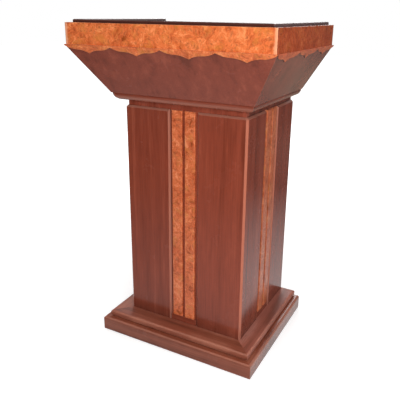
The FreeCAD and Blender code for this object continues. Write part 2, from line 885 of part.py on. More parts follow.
def make_hinge_leaves(name, sign):
    """One leaf of each lift-off hinge, with its knuckle bored for the pin and its screw holes.

    The pin sits tight in the frame's knuckle and runs free in the door's.
    """
    half = S["hinge_height"] / 2
    face = leaf_face(sign)
    back = face + sign * S["hinge_leaf"]
    low, high = sorted((face, back), key=float)
    bore = S["hinge_pin_radius"] if sign > 0 else S["hinge_pin_radius"] + S["pin_clearance"]
    leaves = []
    for number, level in enumerate(HINGE_LEVELS):
        stem = f"{name}_{number}"
        plate = box(
            stem + "_plate",
            (low, DOOR_INSIDE + S["leaf_cover"], level - half),
            (high, REAR, level + half),
        )
        start, end = knuckle_span(level, sign)
        at = (HINGE_X, HINGE_Y, start)
        knuckle = cylinder(stem + "_knuckle", S["knuckle_radius"], at, end - start)
        web = box(stem + "_web", (low, REAR, start), (high, HINGE_Y, end))
        hole = cylinder(stem + "_bore", bore, at, end - start)
        leaves.append(cut(stem, fuse(stem + "_solid", [plate, knuckle, web]), hole))
    screws = screw_solids(name + "_countersink", sign)
    drilled = cut(name, group(name + "_pair", leaves), group(name + "_holes", screws))
    finished(drilled, name)


def make_hinges():
    """Two lift-off hinges: leaves, pins and countersunk screws."""
    make_hinge_leaves("hinge_frame_leaves", 1)
    make_hinge_leaves("hinge_door_leaves", -1)
    finished(group("hinge_frame_screws", screw_solids("frame_screw", 1)), "hinge_frame_screws")
    finished(group("hinge_door_screws", screw_solids("door_screw", -1)), "hinge_door_screws")
    pins = []
    for number, level in enumerate(HINGE_LEVELS):
        at = (HINGE_X, HINGE_Y, level - S["hinge_height"] / 2)
        pins.append(cylinder(f"hinge_pin_{number}", S["hinge_pin_radius"], at, S["hinge_height"]))
    finished(group("hinge_pins", pins), "hinge_pins")


def revolve_about_y(body, name, x, z, corners):
    """Turned piece: corners are (radius, y), spun about the line through x and z along Y."""
    sketch = closed_sketch(body, name + "_outline", "XY_Plane", z, corners)
    bind(sketch, "AttachmentOffset.Base.x", x)
    feature = body.newObject("PartDesign::Revolution", name)
    feature.Profile = sketch
    feature.ReferenceAxis = (sketch, ["V_Axis"])
    feature.Angle = 360
    doc.recompute()
    return feature


def make_knob():
    """Turned knob with a neck and a round head, held by a screw from inside."""
    neck, head = S["knob_neck_radius"], S["knob_radius"]
    out, bore = S["knob_out"], S["knob_screw_radius"]
    body = new_body("door_knob")
    corners = [
        (0, REAR + S["knob_screw_grip"]),
        (bore, REAR + S["knob_screw_grip"]),
        (bore, REAR),
        (neck, REAR),
        (neck, REAR + out * 0.4),
        (head, REAR + out * 0.4),
        (head, REAR + out),
        (0, REAR + out),
    ]
    revolve_about_y(body, "knob_turning", KNOB_X, KNOB_Z, corners)
    finished(body, "door_knob")
    shank = cylinder(
        "knob_screw_shank",
        bore,
        (KNOB_X, DOOR_INSIDE, KNOB_Z),
        S["board"] + S["knob_screw_grip"],
        "Y",
    )
    head_thick = S["keeper_thick"]
    pan = cylinder(
        "knob_screw_pan", S["knob_screw_head"], (KNOB_X, DOOR_INSIDE, KNOB_Z), head_thick, "-Y"
    )
    finished(fuse("knob_screw", [shank, pan]), "knob_screw")


def cam_plane():
    """Outer face of the cam, behind the keeper's flange."""
    return DOOR_INSIDE - S["cam_clear"] - S["keeper_thick"] - S["cam_clear"]


def make_lock():
    """Cam lock in the door: barrel, keyed plug that turns in it, cam on the plug's tail."""
    tail = cam_plane()
    outer_face = REAR + S["lock_flange"]
    barrel_length = outer_face - tail
    bore = S["plug_radius"] + S["plug_clearance"]
    body = cylinder("barrel_body", S["lock_radius"], (LOCK_X, tail, LOCK_Z), barrel_length, "Y")
    flange = cylinder(
        "barrel_flange", S["lock_flange_radius"], (LOCK_X, REAR, LOCK_Z), S["lock_flange"], "Y"
    )
    hole = cylinder("barrel_bore", bore, (LOCK_X, tail, LOCK_Z), barrel_length, "Y")
    finished(cut("lock_barrel", fuse("barrel_solid", [body, flange]), hole), "lock_barrel")

    core = cylinder("plug_core", S["plug_radius"], (LOCK_X, tail, LOCK_Z), barrel_length, "Y")
    square = tail_block("plug_tail", tail, 2 * S["cam_thick"])
    half_width, half_height = S["keyway_width"] / 2, S["keyway_height"] / 2
    keyway = box(
        "plug_keyway",
        (LOCK_X - half_width, outer_face - S["keyway_depth"], LOCK_Z - half_height),
        (LOCK_X + half_width, outer_face, LOCK_Z + half_height),
    )
    finished(cut("lock_plug", fuse("plug_solid", [core, square]), keyway), "lock_plug")
    make_cam(tail)
    make_keeper()


def tail_block(name, tail, length):
    """The plug's squared tail, or the cam's hole for it: square bar that runs in from the barrel."""
    half = S["plug_tail"] / 2
    return box(
        name,
        (LOCK_X - half, tail - length, LOCK_Z - half),
        (LOCK_X + half, tail, LOCK_Z + half),
    )


def make_cam(tail):
    """Flat cam with clipped corners, pointing up when the lock is open."""
    reach = S["lock_edge"] - S["cam_edge"]
    half, bevel = S["cam_width"] / 2, S["cam_width"] / 4
    body = new_body("cam_plate")
    left, right = LOCK_X - half, LOCK_X + half
    low, top = LOCK_Z - half, LOCK_Z + reach
    corners = [
        (left, low + bevel),
        (left + bevel, low),
        (right - bevel, low),
        (right, low + bevel),
        (right, top - bevel),
        (right - bevel, top),
        (left + bevel, top),
        (left, top - bevel),
    ]
    pad(body, "cam_pad", "Y", tail - S["cam_thick"], tail, corners)
    hole = tail_block("cam_hole", tail, S["cam_thick"])
    finished(cut("lock_cam", body, hole), "lock_cam")


def make_keeper():
    """Angle plate on the side board: its flange stands between the door and the turned cam."""
    thick = S["keeper_thick"]
    wall = -INNER_SIDE
    outer = DOOR_INSIDE - S["cam_clear"]
    body = new_body("lock_keeper")
    corners = [
        (wall, outer),
        (wall, outer - S["keeper_leg"]),
        (wall + thick, outer - S["keeper_leg"]),
        (wall + thick, outer - thick),
        (wall + S["keeper_reach"], outer - thick),
        (wall + S["keeper_reach"], outer),
    ]
    half = S["keeper_height"] / 2
    pad(body, "keeper_angle", "Z", LOCK_Z - half, LOCK_Z + half, corners)
    finished(body, "lock_keeper")


def make_catch():
    """Magnetic catch on the side board and its plate on the door."""
    middle = DOOR_TOP - S["catch_drop"]
    plate_face = DOOR_INSIDE - S["catch_plate_thick"]
    magnet_face = plate_face - S["catch_air"]
    half = S["catch_height"] / 2
    housing = block(
        "catch_housing",
        (-INNER_SIDE, magnet_face - S["catch_depth"], middle - half),
        (S["catch_width"] - INNER_SIDE, magnet_face, middle + half),
    )
    free = edges_at(housing.Shape, x=S["catch_width"] - INNER_SIDE, z=middle - half)
    free += edges_at(housing.Shape, x=S["catch_width"] - INNER_SIDE, z=middle + half)
    dress(housing, "Fillet", free, S["eased_edge"])
    finished(housing, "catch_housing")
    start = S["door_gap"] - INNER_SIDE
    half = S["catch_plate_height"] / 2
    plate = box(
        "catch_plate",
        (start, plate_face, middle - half),
        (start + S["catch_plate_width"], DOOR_INSIDE, middle + half),
    )
    finished(plate, "catch_plate")


# ---------------------------------------------------------------- neck and hopper

def make_neck_mouldings():
    """Quarter-round mouldings that carry the hopper's lower edge."""
    radius = S["moulding_round"]
    top_out = LIP_OUT - S["moulding_quirk"]
    profile = [
        (0, HOPPER_BASE - radius),
        (top_out - radius, HOPPER_BASE - radius),
        Arc(top_out, HOPPER_BASE, radius, 1),
        (0, HOPPER_BASE),
    ]
    pieces = three_sides("neck_moulding", CARCASS_SIDE, CARCASS_FRONT, REAR, profile, 0, top_out)
    for side, body in pieces.items():
        finished(body, f"neck_moulding_{side}")


def make_hopper():
    """Floor board and three sloping boards, mitred along the hips and cut off at the rear plane."""
    reach = LIP_OUT - HOPPER_WALL
    floor = box(
        "hopper_floor",
        (-(CARCASS_SIDE + reach), CARCASS_FRONT - reach, HOPPER_BASE),
        (CARCASS_SIDE + reach, REAR, HOPPER_BASE + S["board"]),
    )
    finished(floor, "hopper_floor")
    profile = [
        (LIP_OUT - HOPPER_WALL, HOPPER_BASE),
        (LIP_OUT, HOPPER_BASE),
        (FLARE_OUT, HOPPER_TOP),
        (FLARE_OUT - HOPPER_WALL, HOPPER_TOP),
    ]
    pieces = three_sides("hopper", CARCASS_SIDE, CARCASS_FRONT, REAR, profile, 0, FLARE_OUT)
    for side, body in pieces.items():
        finished(body, f"hopper_{side}")


# ---------------------------------------------------------------- band, apron and rim

def make_band():
    """Upright boards above the hopper, faced with burl."""
    inner = BAND_OUT - S["board"]
    profile = [
        (inner, HOPPER_TOP),
        (BAND_OUT, HOPPER_TOP),
        (BAND_OUT, BAND_TOP),
        (inner, BAND_TOP),
    ]
    pieces = three_sides("band", CARCASS_SIDE, CARCASS_FRONT, REAR, profile, 0, BAND_OUT)
    for side, body in pieces.items():
        finished(body, f"band_{side}")


def make_rim():
    """Dark liner boards inside the band, standing proud of it with rounded tops."""
    radius = S["rim_round"]
    profile = [
        (RIM_IN, HOPPER_TOP),
        (RIM_OUT, HOPPER_TOP),
        (RIM_OUT, RIM_TOP - radius),
        Arc(RIM_OUT - radius, RIM_TOP, radius, 1),
        (RIM_IN + radius, RIM_TOP),
        Arc(RIM_IN, RIM_TOP - radius, radius, 1),
    ]
    pieces = three_sides("rim", CARCASS_SIDE, CARCASS_FRONT, REAR, profile, 0, RIM_OUT)
    for side, body in pieces.items():
        finished(body, f"rim_{side}")


def lobe_corners(start, pitch):
    """One bracket-shaped lobe below the apron's root: two ogee halves that meet in a point."""
    root, drop = S["lobe_root"], S["lobe_drop"]
    quarter = pitch / 4
    radius = (quarter * quarter + drop * drop / 4) / drop
    shoulder = -(root + drop / 2)
    tip = -(root + drop)
    return [
        (start, as_dim(0)),
        (start, -root),
        Arc(start + quarter, shoulder, radius, 1),
        Arc(start + pitch / 2, tip, radius, -1),
        Arc(start + 3 * quarter, shoulder, radius, -1),
        Arc(start + pitch, -root, radius, 1),
        (start + pitch, as_dim(0)),
    ]


def make_apron(side, start, length, lobes, square_rear):
    """Scalloped burl facing: drawn flat from the hopper's upper edge, repeated lobe by lobe.

    The outline's first axis runs along the edge, its second up the slope; the hips shorten
    the root at a mitred end.
    """
    root = S["lobe_root"]
    hip = root * S["hopper_flare"] / SLANT
    first_hip = hip
    last_hip = as_dim(0) if square_rear else hip
    pitch = (length - first_hip - last_hip) / lobes
    body = new_body(f"apron_{side}")
    outline = [
        (start, as_dim(0)),
        (start + first_hip, -root),
        (start + length - last_hip, -root),
        (start + length, as_dim(0)),
    ]
    pad(body, f"apron_{side}_root", "Z", 0, S["apron_thick"], outline)
    lobe = pad(
        body, f"apron_{side}_lobe", "Z", 0, S["apron_thick"], lobe_corners(start + first_hip, pitch)
    )
    repeat = body.newObject("PartDesign::LinearPattern", f"apron_{side}_lobes")
    repeat.Originals = [lobe]
    repeat.Direction = (origin_plane(body, "X_Axis"), [""])
    bind(repeat, "Length", pitch * (lobes - 1))
    repeat.Occurrences = lobes
    body.Tip = repeat
    doc.recompute()
    return body


def make_aprons():
    """Scalloped facings on the three slopes, four lobes on the front and three on each side."""
    half = CARCASS_SIDE + FLARE_OUT
    front_y = CARCASS_FRONT - FLARE_OUT
    tilt = slant_angle(S["hopper_height"], S["hopper_flare"])
    front = make_apron("front", -half, 2 * half, 4, False)
    turn_apron(front, "front", tilt)
    bind_position(front, 0, front_y, HOPPER_TOP)
    finished(front, "apron_front")
    depth = REAR - front_y
    right = make_apron("right", as_dim(0), depth, 3, True)
    turn_apron(right, "right", tilt)
    bind_position(right, half, front_y, HOPPER_TOP)
    finished(right, "apron_right")
    left = mirrored_apron(depth)
    turn_apron(left, "left", tilt)
    bind_position(left, -half, front_y, HOPPER_TOP)
    finished(left, "apron_left")


def mirrored_apron(depth):
    """The left apron, drawn from the rear plane to the mitred front end."""
    root = S["lobe_root"]
    hip = root * S["hopper_flare"] / SLANT
    pitch = (depth - hip) / 3
    body = new_body("apron_left")
    outline = [
        (-depth, as_dim(0)),
        (-depth, -root),
        (-hip, -root),
        (as_dim(0), as_dim(0)),
    ]
    pad(body, "apron_left_root", "Z", 0, S["apron_thick"], outline)
    lobe = pad(body, "apron_left_lobe", "Z", 0, S["apron_thick"], lobe_corners(-depth, pitch))
    repeat = body.newObject("PartDesign::LinearPattern", "apron_left_lobes")
    repeat.Originals = [lobe]
    repeat.Direction = (origin_plane(body, "X_Axis"), [""])
    bind(repeat, "Length", pitch * 2)
    repeat.Occurrences = 3
    body.Tip = repeat
    doc.recompute()
    return body


def turn_apron(body, side, tilt):
    """Lay a flat apron on its slope: its own Y runs up the slope and its Z points outward."""
    angle = math.radians(float(tilt))
    level, up = math.cos(angle), math.sin(angle)
    along = {"front": V(1, 0, 0), "right": V(0, 1, 0), "left": V(0, -1, 0)}[side]
    outward = {"front": V(0, -1, 0), "right": V(1, 0, 0), "left": V(-1, 0, 0)}[side]
    up_slope = outward * level + V(0, 0, up)
    normal = along.cross(up_slope)
    body.Placement = FreeCAD.Placement(V(), FreeCAD.Rotation(along, up_slope, normal, "XYZ"))


# ---------------------------------------------------------------- desk

DESK_FRONT = CARCASS_FRONT - RIM_IN
DESK_SIDE = CARCASS_SIDE + RIM_IN
DESK_HIGH = RIM_TOP - S["desk_front_drop"]
DESK_LOW = DESK_HIGH - S["desk_fall"]


def desk_level(y):
    """Height of the desk's upper face at a distance along Y."""
    return DESK_HIGH - S["desk_fall"] * (y - DESK_FRONT) / (REAR - DESK_FRONT)


def make_desk():
    """Sloping desk between the rim boards, with a stop for papers and the cleats that carry it."""
    board = S["board"]
    desk = new_body("reading_desk")
    corners = [
        (DESK_FRONT, DESK_HIGH - board),
        (REAR, DESK_LOW - board),
        (REAR, DESK_LOW),
        (DESK_FRONT, DESK_HIGH),
    ]
    pad(desk, "desk_board", "X", -DESK_SIDE, DESK_SIDE, corners)
    dress(desk, "Fillet", edges_at(desk.Shape, y=REAR, z=DESK_LOW), S["desk_round"])
    finished(desk, "reading_desk")
    make_book_stop()
    make_cleats()


def make_book_stop():
    """Strip across the desk's rear edge that keeps papers from sliding off."""
    rear = REAR - S["stop_inset"]
    front = rear - S["stop_width"]
    rise = S["stop_height"]
    half = S["stop_length"] / 2
    stop = new_body("book_stop")
    corners = [
        (front, desk_level(front)),
        (rear, desk_level(rear)),
        (rear, desk_level(rear) + rise),
        (front, desk_level(front) + rise),
    ]
    pad(stop, "stop_strip", "X", -half, half, corners)
    names = edges_at(stop.Shape, y=front, z=desk_level(front) + rise)
    names += edges_at(stop.Shape, y=rear, z=desk_level(rear) + rise)
    dress(stop, "Fillet", names, S["strip_round"])
    finished(stop, "book_stop")


def make_cleats():
    """Battens under the desk's front and sides."""
    width, depth, board = S["cleat_width"], S["cleat_depth"], S["board"]
    side_front = DESK_FRONT + width
    side_rear = REAR - S["cleat_end_gap"]
    cleats = []
    for sign in (-1, 1):
        body = new_body(f"side_cleat_{len(cleats)}")
        corners = [
            (side_front, desk_level(side_front) - board - depth),
            (side_rear, desk_level(side_rear) - board - depth),
            (side_rear, desk_level(side_rear) - board),
            (side_front, desk_level(side_front) - board),
        ]
        low, high = sorted((sign * (DESK_SIDE - width), sign * DESK_SIDE), key=float)
        pad(body, f"side_cleat_pad_{len(cleats)}", "X", low, high, corners)
        cleats.append(body)
    front = new_body("front_cleat")
    corners = [
        (DESK_FRONT, desk_level(DESK_FRONT) - board - depth),
        (side_front, desk_level(side_front) - board - depth),
        (side_front, desk_level(side_front) - board),
        (DESK_FRONT, desk_level(DESK_FRONT) - board),
    ]
    pad(front, "front_cleat_pad", "X", -DESK_SIDE, DESK_SIDE, corners)
    cleats.append(front)
    finished(group("desk_cleats", cleats), "desk_cleats")


# ---------------------------------------------------------------- build, check, write

def build_all():
    """Make every sub-part, from the floor up."""
    make_plinth()
    make_stage()
    make_carcass()
    make_front_panels()
    make_side_panels()
    make_strips()
    make_strip_feet()
    make_shelf()
    make_door()
    make_hinges()
    make_knob()
    make_lock()
    make_catch()
    make_neck_mouldings()
    make_hopper()
    make_band()
    make_aprons()
    make_rim()
    make_desk()
    doc.recompute()


def check_all():
    """Stop if anything in the document failed or any sub-part isn't a sound solid."""
    for item in doc.Objects:
        if "Invalid" in item.State or "Error" in item.State:
            raise RuntimeError(f"{item.Name} failed: {item.State}")
    for piece in PARTS:
        shape = piece.Shape
        if shape.isNull() or not shape.isValid() or not shape.Solids:
            raise RuntimeError(f"{piece.Label} is not a sound solid")


def write_all():
    """Write one STEP file for each sub-part."""
    os.makedirs("parts", exist_ok=True)
    for piece in PARTS:
        piece.Shape.exportStep(f"parts/{piece.Label}.step")
        print(f"{piece.Label}: {len(piece.Shape.Solids)} solids, {piece.Shape.Volume:.0f} mm3")


build_all()
check_all()
write_all()
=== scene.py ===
"""Looks of a veneered presentation lectern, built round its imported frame.

Everything is in metres in the frame's own axes: +Z is up, the audience stands at -Y and the
speaker at +Y. Each sub-assembly is a class that dresses its own pieces and builds the ones
that the frame holds only in plain form.
"""

from dataclasses import dataclass, replace
from enum import Enum
import logging
import math
from typing import Dict, List, Optional, Sequence, Tuple, Union

import bmesh
import bpy
from mathutils import Matrix, Vector


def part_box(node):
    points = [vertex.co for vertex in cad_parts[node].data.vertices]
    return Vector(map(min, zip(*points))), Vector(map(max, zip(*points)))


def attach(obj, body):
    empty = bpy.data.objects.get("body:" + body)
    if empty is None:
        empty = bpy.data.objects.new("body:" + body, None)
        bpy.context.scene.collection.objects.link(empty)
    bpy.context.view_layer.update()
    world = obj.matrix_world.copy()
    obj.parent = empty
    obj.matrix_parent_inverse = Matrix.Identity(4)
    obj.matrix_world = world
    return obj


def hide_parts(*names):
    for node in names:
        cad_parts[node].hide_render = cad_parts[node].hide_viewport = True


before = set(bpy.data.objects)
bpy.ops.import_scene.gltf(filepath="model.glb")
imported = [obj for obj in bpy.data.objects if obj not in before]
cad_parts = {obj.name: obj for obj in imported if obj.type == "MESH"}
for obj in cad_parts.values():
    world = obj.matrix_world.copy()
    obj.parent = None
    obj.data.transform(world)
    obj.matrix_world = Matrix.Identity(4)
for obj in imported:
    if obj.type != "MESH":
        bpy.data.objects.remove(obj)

LOG = logging.getLogger("lectern")
MM = 0.001
TOUCHING = 1e-7

Colour = Tuple[float, float, float]
Point = Tuple[float, float, float]
Range = Tuple[float, float]
Span = Tuple[float, float, float, float]
Stops = Sequence[Tuple[float, Colour]]
Socket = bpy.types.NodeSocket
Feed = Union[Socket, float, Point]

WHITE: Colour = (1.0, 1.0, 1.0)
MOST: Range = (0.3, 0.7)  # where most of a noise lies
FULL: Range = (0.0, 1.0)
LACQUER_IOR = 1.45


# ---- shader graphs


class Grain(Enum):
    """The axis that a board's grain runs along."""

    X = 0
    Y = 1
    Z = 2

    def along(self, across: float, length: float) -> Point:
        """Factors for the three axes: one across the grain and another along it."""
        return tuple(length if axis == self.value else across for axis in range(3))


class Blend(Enum):
    """How one colour is laid over another."""

    MIX = "MIX"
    MULTIPLY = "MULTIPLY"


@dataclass(frozen=True)
class Figure:
    """One size of figure in a finish: fractal noise with so many features to the metre.

    Where a length is given, that many run along the grain and the scale counts across it.
    """

    scale: float
    detail: float = 3.0
    roughness: float = 0.5
    distortion: float = 0.0
    length: Optional[float] = None


class Graph:
    """A node tree, with short calls for the nodes that the finishes and the studio share."""

    # Where each mask starts and ends: cosines of turned normals, and shares of open space.
    EDGE: Range = (0.995, 0.8)
    SLANT: Range = (0.985, 0.86)
    LEDGE: Range = (0.6, 0.8)
    CUT: Range = (0.97, 0.90)
    SHELTER: Range = (1.0, 0.45)
    EDGE_SAMPLES = 6
    SHELTER_SAMPLES = 8
    # Sockets of the Mix node that hold its two colours and its result.
    MIX_A, MIX_B, MIX_RESULT = 6, 7, 2

    def __init__(self, name: str, world: bool = False) -> None:
        """Start an empty tree.

        Args:
            name: Name of the material or world that the tree belongs to.
            world: Whether it is a world.
        """
        self.kind = "World" if world else "Material"
        self.owner = (bpy.data.worlds if world else bpy.data.materials).new(name)
        self.owner.use_nodes = True
        self.tree = self.owner.node_tree
        self.tree.nodes.clear()
        self.coords = self.add("TexCoord").outputs
        self.place = self.coords["Object"]

    def add(self, kind: str, inputs: Optional[dict] = None, **props: object) -> bpy.types.Node:
        """Add a node.

        Args:
            kind: Blender's name for the node type, without "ShaderNode".
            inputs: Socket name or index to a value or to another node's output.
            **props: Properties set on the node itself.

        Returns:
            The new node.
        """
        node = self.tree.nodes.new(f"ShaderNode{kind}")
        for key, value in props.items():
            setattr(node, key, value)
        for key, value in (inputs or {}).items():
            self.feed(node.inputs[key], value)
        return node

    def feed(self, socket: Socket, value: Feed) -> None:
        """Link an output to a socket, or write a plain value on it.

        Args:
            socket: The socket to fill.
            value: An output socket, a number or a tuple.
        """
        if isinstance(value, Socket):
            self.tree.links.new(value, socket)
        elif isinstance(value, tuple) and socket.type == "RGBA":
            socket.default_value = (*value[:3], 1.0)
        else:
            socket.default_value = value

    def calc(self, operation: str, a: Feed, b: Feed = 0.0) -> Socket:
        """Arithmetic on two values, by Blender's name for it, such as ADD or MULTIPLY."""
        return self.add("Math", {0: a, 1: b}, operation=operation).outputs[0]

    def total(self, *parts: Tuple[Feed, float]) -> Socket:
        """Sum of values, each times its share.

        Args:
            *parts: The values and their shares.

        Returns:
            The output socket.
        """
        whole, *rest = [self.calc("MULTIPLY", value, share) for value, share in parts]
        for part in rest:
            whole = self.calc("ADD", whole, part)
        return whole

    def vector(self, operation: str, a: Feed, b: Optional[Feed] = None) -> Socket:
        """Arithmetic on vectors.

        Args:
            operation: Blender's name for it, such as ADD or DOT_PRODUCT.
            a: The first vector.
            b: The second vector, for an operation that has one.

        Returns:
            The output socket: a number for a product, a length or a distance.
        """
        inputs = {0: a} if b is None else {0: a, 1: b}
        single = operation in ("DOT_PRODUCT", "LENGTH", "DISTANCE")
        node = self.add("VectorMath", inputs, operation=operation)
        return node.outputs["Value" if single else "Vector"]

    def split(self, vector: Feed) -> Sequence[Socket]:
        """The X, Y and Z of a vector."""
        return self.add("SeparateXYZ", {0: vector}).outputs

    def scaled(self, scale: Union[float, Point], vector: Feed) -> Socket:
        """Coordinates or a colour times a factor for each axis, or times one for all three."""
        factors = scale if isinstance(scale, tuple) else (scale, scale, scale)
        return self.vector("MULTIPLY", vector, factors)

    def shifted(self, amount: float) -> Socket:
        """Object coordinates moved by up to an amount in metres, so that no two boards match."""
        own = self.add("ObjectInfo").outputs["Color"]
        return self.vector("ADD", self.place, self.scaled(amount, own))

    def noise(
        self, vector: Feed, figure: Figure, grain: Grain = Grain.Z, colour: bool = False
    ) -> Socket:
        """Fractal noise.

        Args:
            vector: Coordinates.
            figure: Size and character of the noise.
            grain: The way that a figure with a length is drawn out.
            colour: Whether to hand back three channels in place of one.

        Returns:
            The output socket.
        """
        scale = figure.scale
        if figure.length is not None:
            vector, scale = self.scaled(grain.along(scale, figure.length), vector), 1.0
        node = self.add(
            "TexNoise",
            {
                "Vector": vector,
                "Scale": scale,
                "Detail": figure.detail,
                "Roughness": figure.roughness,
                "Distortion": figure.distortion,
            },
        )
        return node.outputs["Color" if colour else "Fac"]

    def cells(self, vector: Feed, scale: float) -> bpy.types.Node:
        """Node of a cell pattern: distance to the nearest centre and a random tint per cell."""
        return self.add("TexVoronoi", {"Vector": vector, "Scale": scale})

    def ramp(self, value: Feed, stops: Stops, smooth: bool = False) -> Socket:
        """Colours along a value.

        Args:
            value: The factor.
            stops: Positions and colours, in order.
            smooth: Whether to ease between the stops.

        Returns:
            The colour output.
        """
        node = self.add("ValToRGB", {0: value})
        node.color_ramp.interpolation = "EASE" if smooth else "LINEAR"
        band = node.color_ramp.elements
        while len(band) > 1:
            band.remove(band[-1])
        band[0].position, band[0].color = stops[0][0], (*stops[0][1], 1.0)
        for place, colour in stops[1:]:
            band.new(place).color = (*colour, 1.0)
        return node.outputs["Color"]

    def span(self, value: Feed, low: float, high: float, to_low: Feed, to_high: Feed) -> Socket:
        """A value mapped from one range to another and clamped.

        Args:
            value: The value.
            low: Start of its range.
            high: End of its range.
            to_low: Result at the start.
            to_high: Result at the end.

        Returns:
            The output socket.
        """
        node = self.add("MapRange", {0: value, 1: low, 2: high, 3: to_low, 4: to_high}, clamp=True)
        return node.outputs[0]

    def mix(self, factor: Feed, a: Feed, b: Feed, how: Blend = Blend.MIX) -> Socket:
        """One colour over another.

        Args:
            factor: Share of the second colour.
            a: The first colour.
            b: The second colour.
            how: The way they combine.

        Returns:
            The colour output.
        """
        inputs = {0: factor, self.MIX_A: a, self.MIX_B: b}
        node = self.add("Mix", inputs, data_type="RGBA", blend_type=how.value)
        return node.outputs[self.MIX_RESULT]

    def tinted(self, colour: Feed, tint: Feed) -> Socket:
        """A colour multiplied by another."""
        return self.mix(1.0, colour, tint, Blend.MULTIPLY)

    def bump(self, height: Feed, depth: float, normal: Feed) -> Socket:
        """A normal bent by a height from 0 to 1, of which 1 is so many metres deep."""
        inputs = {"Height": height, "Strength": 1.0, "Distance": depth, "Normal": normal}
        return self.add("Bump", inputs).outputs["Normal"]

    def rounded(self, radius: float) -> Socket:
        """Normal that rounds sharp edges, by a radius in metres."""
        node = self.add("Bevel", {"Radius": radius}, samples=self.EDGE_SAMPLES)
        return node.outputs["Normal"]

    def edge(self, rounded: Socket) -> Socket:
        """How near a point is to an edge, from 0 on a flat to 1 where rounded() bends most."""
        flat = self.add("NewGeometry").outputs["Normal"]
        return self.span(self.vector("DOT_PRODUCT", rounded, flat), *self.EDGE, *FULL)

    def slanted(self) -> Socket:
        """Mask of the faces that lie across the axes: 1 on a bevel or rounding, 0 on a flat."""
        x, y, z = self.split(self.vector("ABSOLUTE", self.coords["Normal"]))
        return self.span(self.calc("MAXIMUM", self.calc("MAXIMUM", x, y), z), *self.SLANT, *FULL)

    def level(self) -> Socket:
        """Mask of the faces that look up: 1 on a ledge, 0 on a wall or a steep slope."""
        return self.span(self.split(self.coords["Normal"])[2], *self.LEDGE, *FULL)

    def turned_from(self, facing: Point) -> Socket:
        """Mask of the cut edges of a facing: what looks neither its way nor up.

        Args:
            facing: The way that the main face looks.

        Returns:
            The output socket.
        """
        turn = self.vector("DOT_PRODUCT", self.coords["Normal"], facing)
        away = self.span(turn, *self.CUT, *FULL)
        return self.calc("MULTIPLY", away, self.calc("SUBTRACT", 1.0, self.level()))

    def borders(self, corner: Range) -> Tuple[Socket, Socket]:
        """Masks of the side borders of a mitred board, behind its two seams at 45 degrees.

        Args:
            corner: The board's half width, and the depth of its front edge, in metres.

        Returns:
            The mask of both borders, and the mask of the one at +X.
        """
        x, y, _ = self.split(self.place)
        inward = self.calc("SUBTRACT", corner[0], self.calc("ABSOLUTE", x))
        both = self.calc("GREATER_THAN", self.calc("ADD", corner[1], y), inward)
        return both, self.calc("MULTIPLY", both, self.calc("GREATER_THAN", x, 0.0))

    def crossed(self, vector: Socket, mask: Socket) -> Socket:
        """Coordinates whose X and Y change places where a mask is 1."""
        x, y, z = self.split(vector)
        return self.mix(mask, vector, self.add("CombineXYZ", {0: y, 1: x, 2: z}).outputs[0])

    def spread(self, noise: Socket, middle: float, more: Range) -> Socket:
        """A middle value that a noise moves between the two limits of a range round it."""
        return self.span(noise, *MOST, middle + more[0], middle + more[1])

    def sheltered(self, reach: float) -> Socket:
        """How closely surfaces within a reach stand round a point: 0 in the open, 1 in a corner."""
        node = self.add("AmbientOcclusion", {"Distance": reach}, samples=self.SHELTER_SAMPLES)
        return self.span(node.outputs["AO"], *self.SHELTER, *FULL)

    def by_ray(self, lit: Socket, mirrored: Socket, shown: Socket) -> Socket:
        """One shader for other surfaces, one for gloss and glass, and one for the camera.

        Args:
            lit: What other surfaces are lit by.
            mirrored: What glossy and transmitted rays meet.
            shown: What the camera sees directly.

        Returns:
            The shader output.
        """
        path = self.add("LightPath").outputs
        bounced = self.calc("MAXIMUM", path["Is Glossy Ray"], path["Is Transmission Ray"])
        for factor, shader in ((bounced, mirrored), (path["Is Camera Ray"], shown)):
            lit = self.add("MixShader", {0: factor, 1: lit, 2: shader}).outputs[0]
        return lit

    def close(self, shader: Socket) -> bpy.types.ID:
        """Link a shader to the tree's output, and hand back the material or world."""
        self.add(f"Output{self.kind}", {"Surface": shader})
        return self.owner

    def surface(self, **inputs: Feed) -> bpy.types.Material:
        """The material with a Principled shader, whose inputs have underscores for spaces."""
        values = {name.replace("_", " "): value for name, value in inputs.items()}
        return self.close(self.add("BsdfPrincipled", values).outputs[0])


# ---- finishes


@dataclass(frozen=True)
class Finish:
    """What every finish has: its material's name, and its soft edges and relief in metres."""

    name: str
    edge_radius: float = 0.0016
    relief: float = 0.00006

    def make(self) -> bpy.types.Material:
        """Build the material; each finish has its own way."""
        raise NotImplementedError


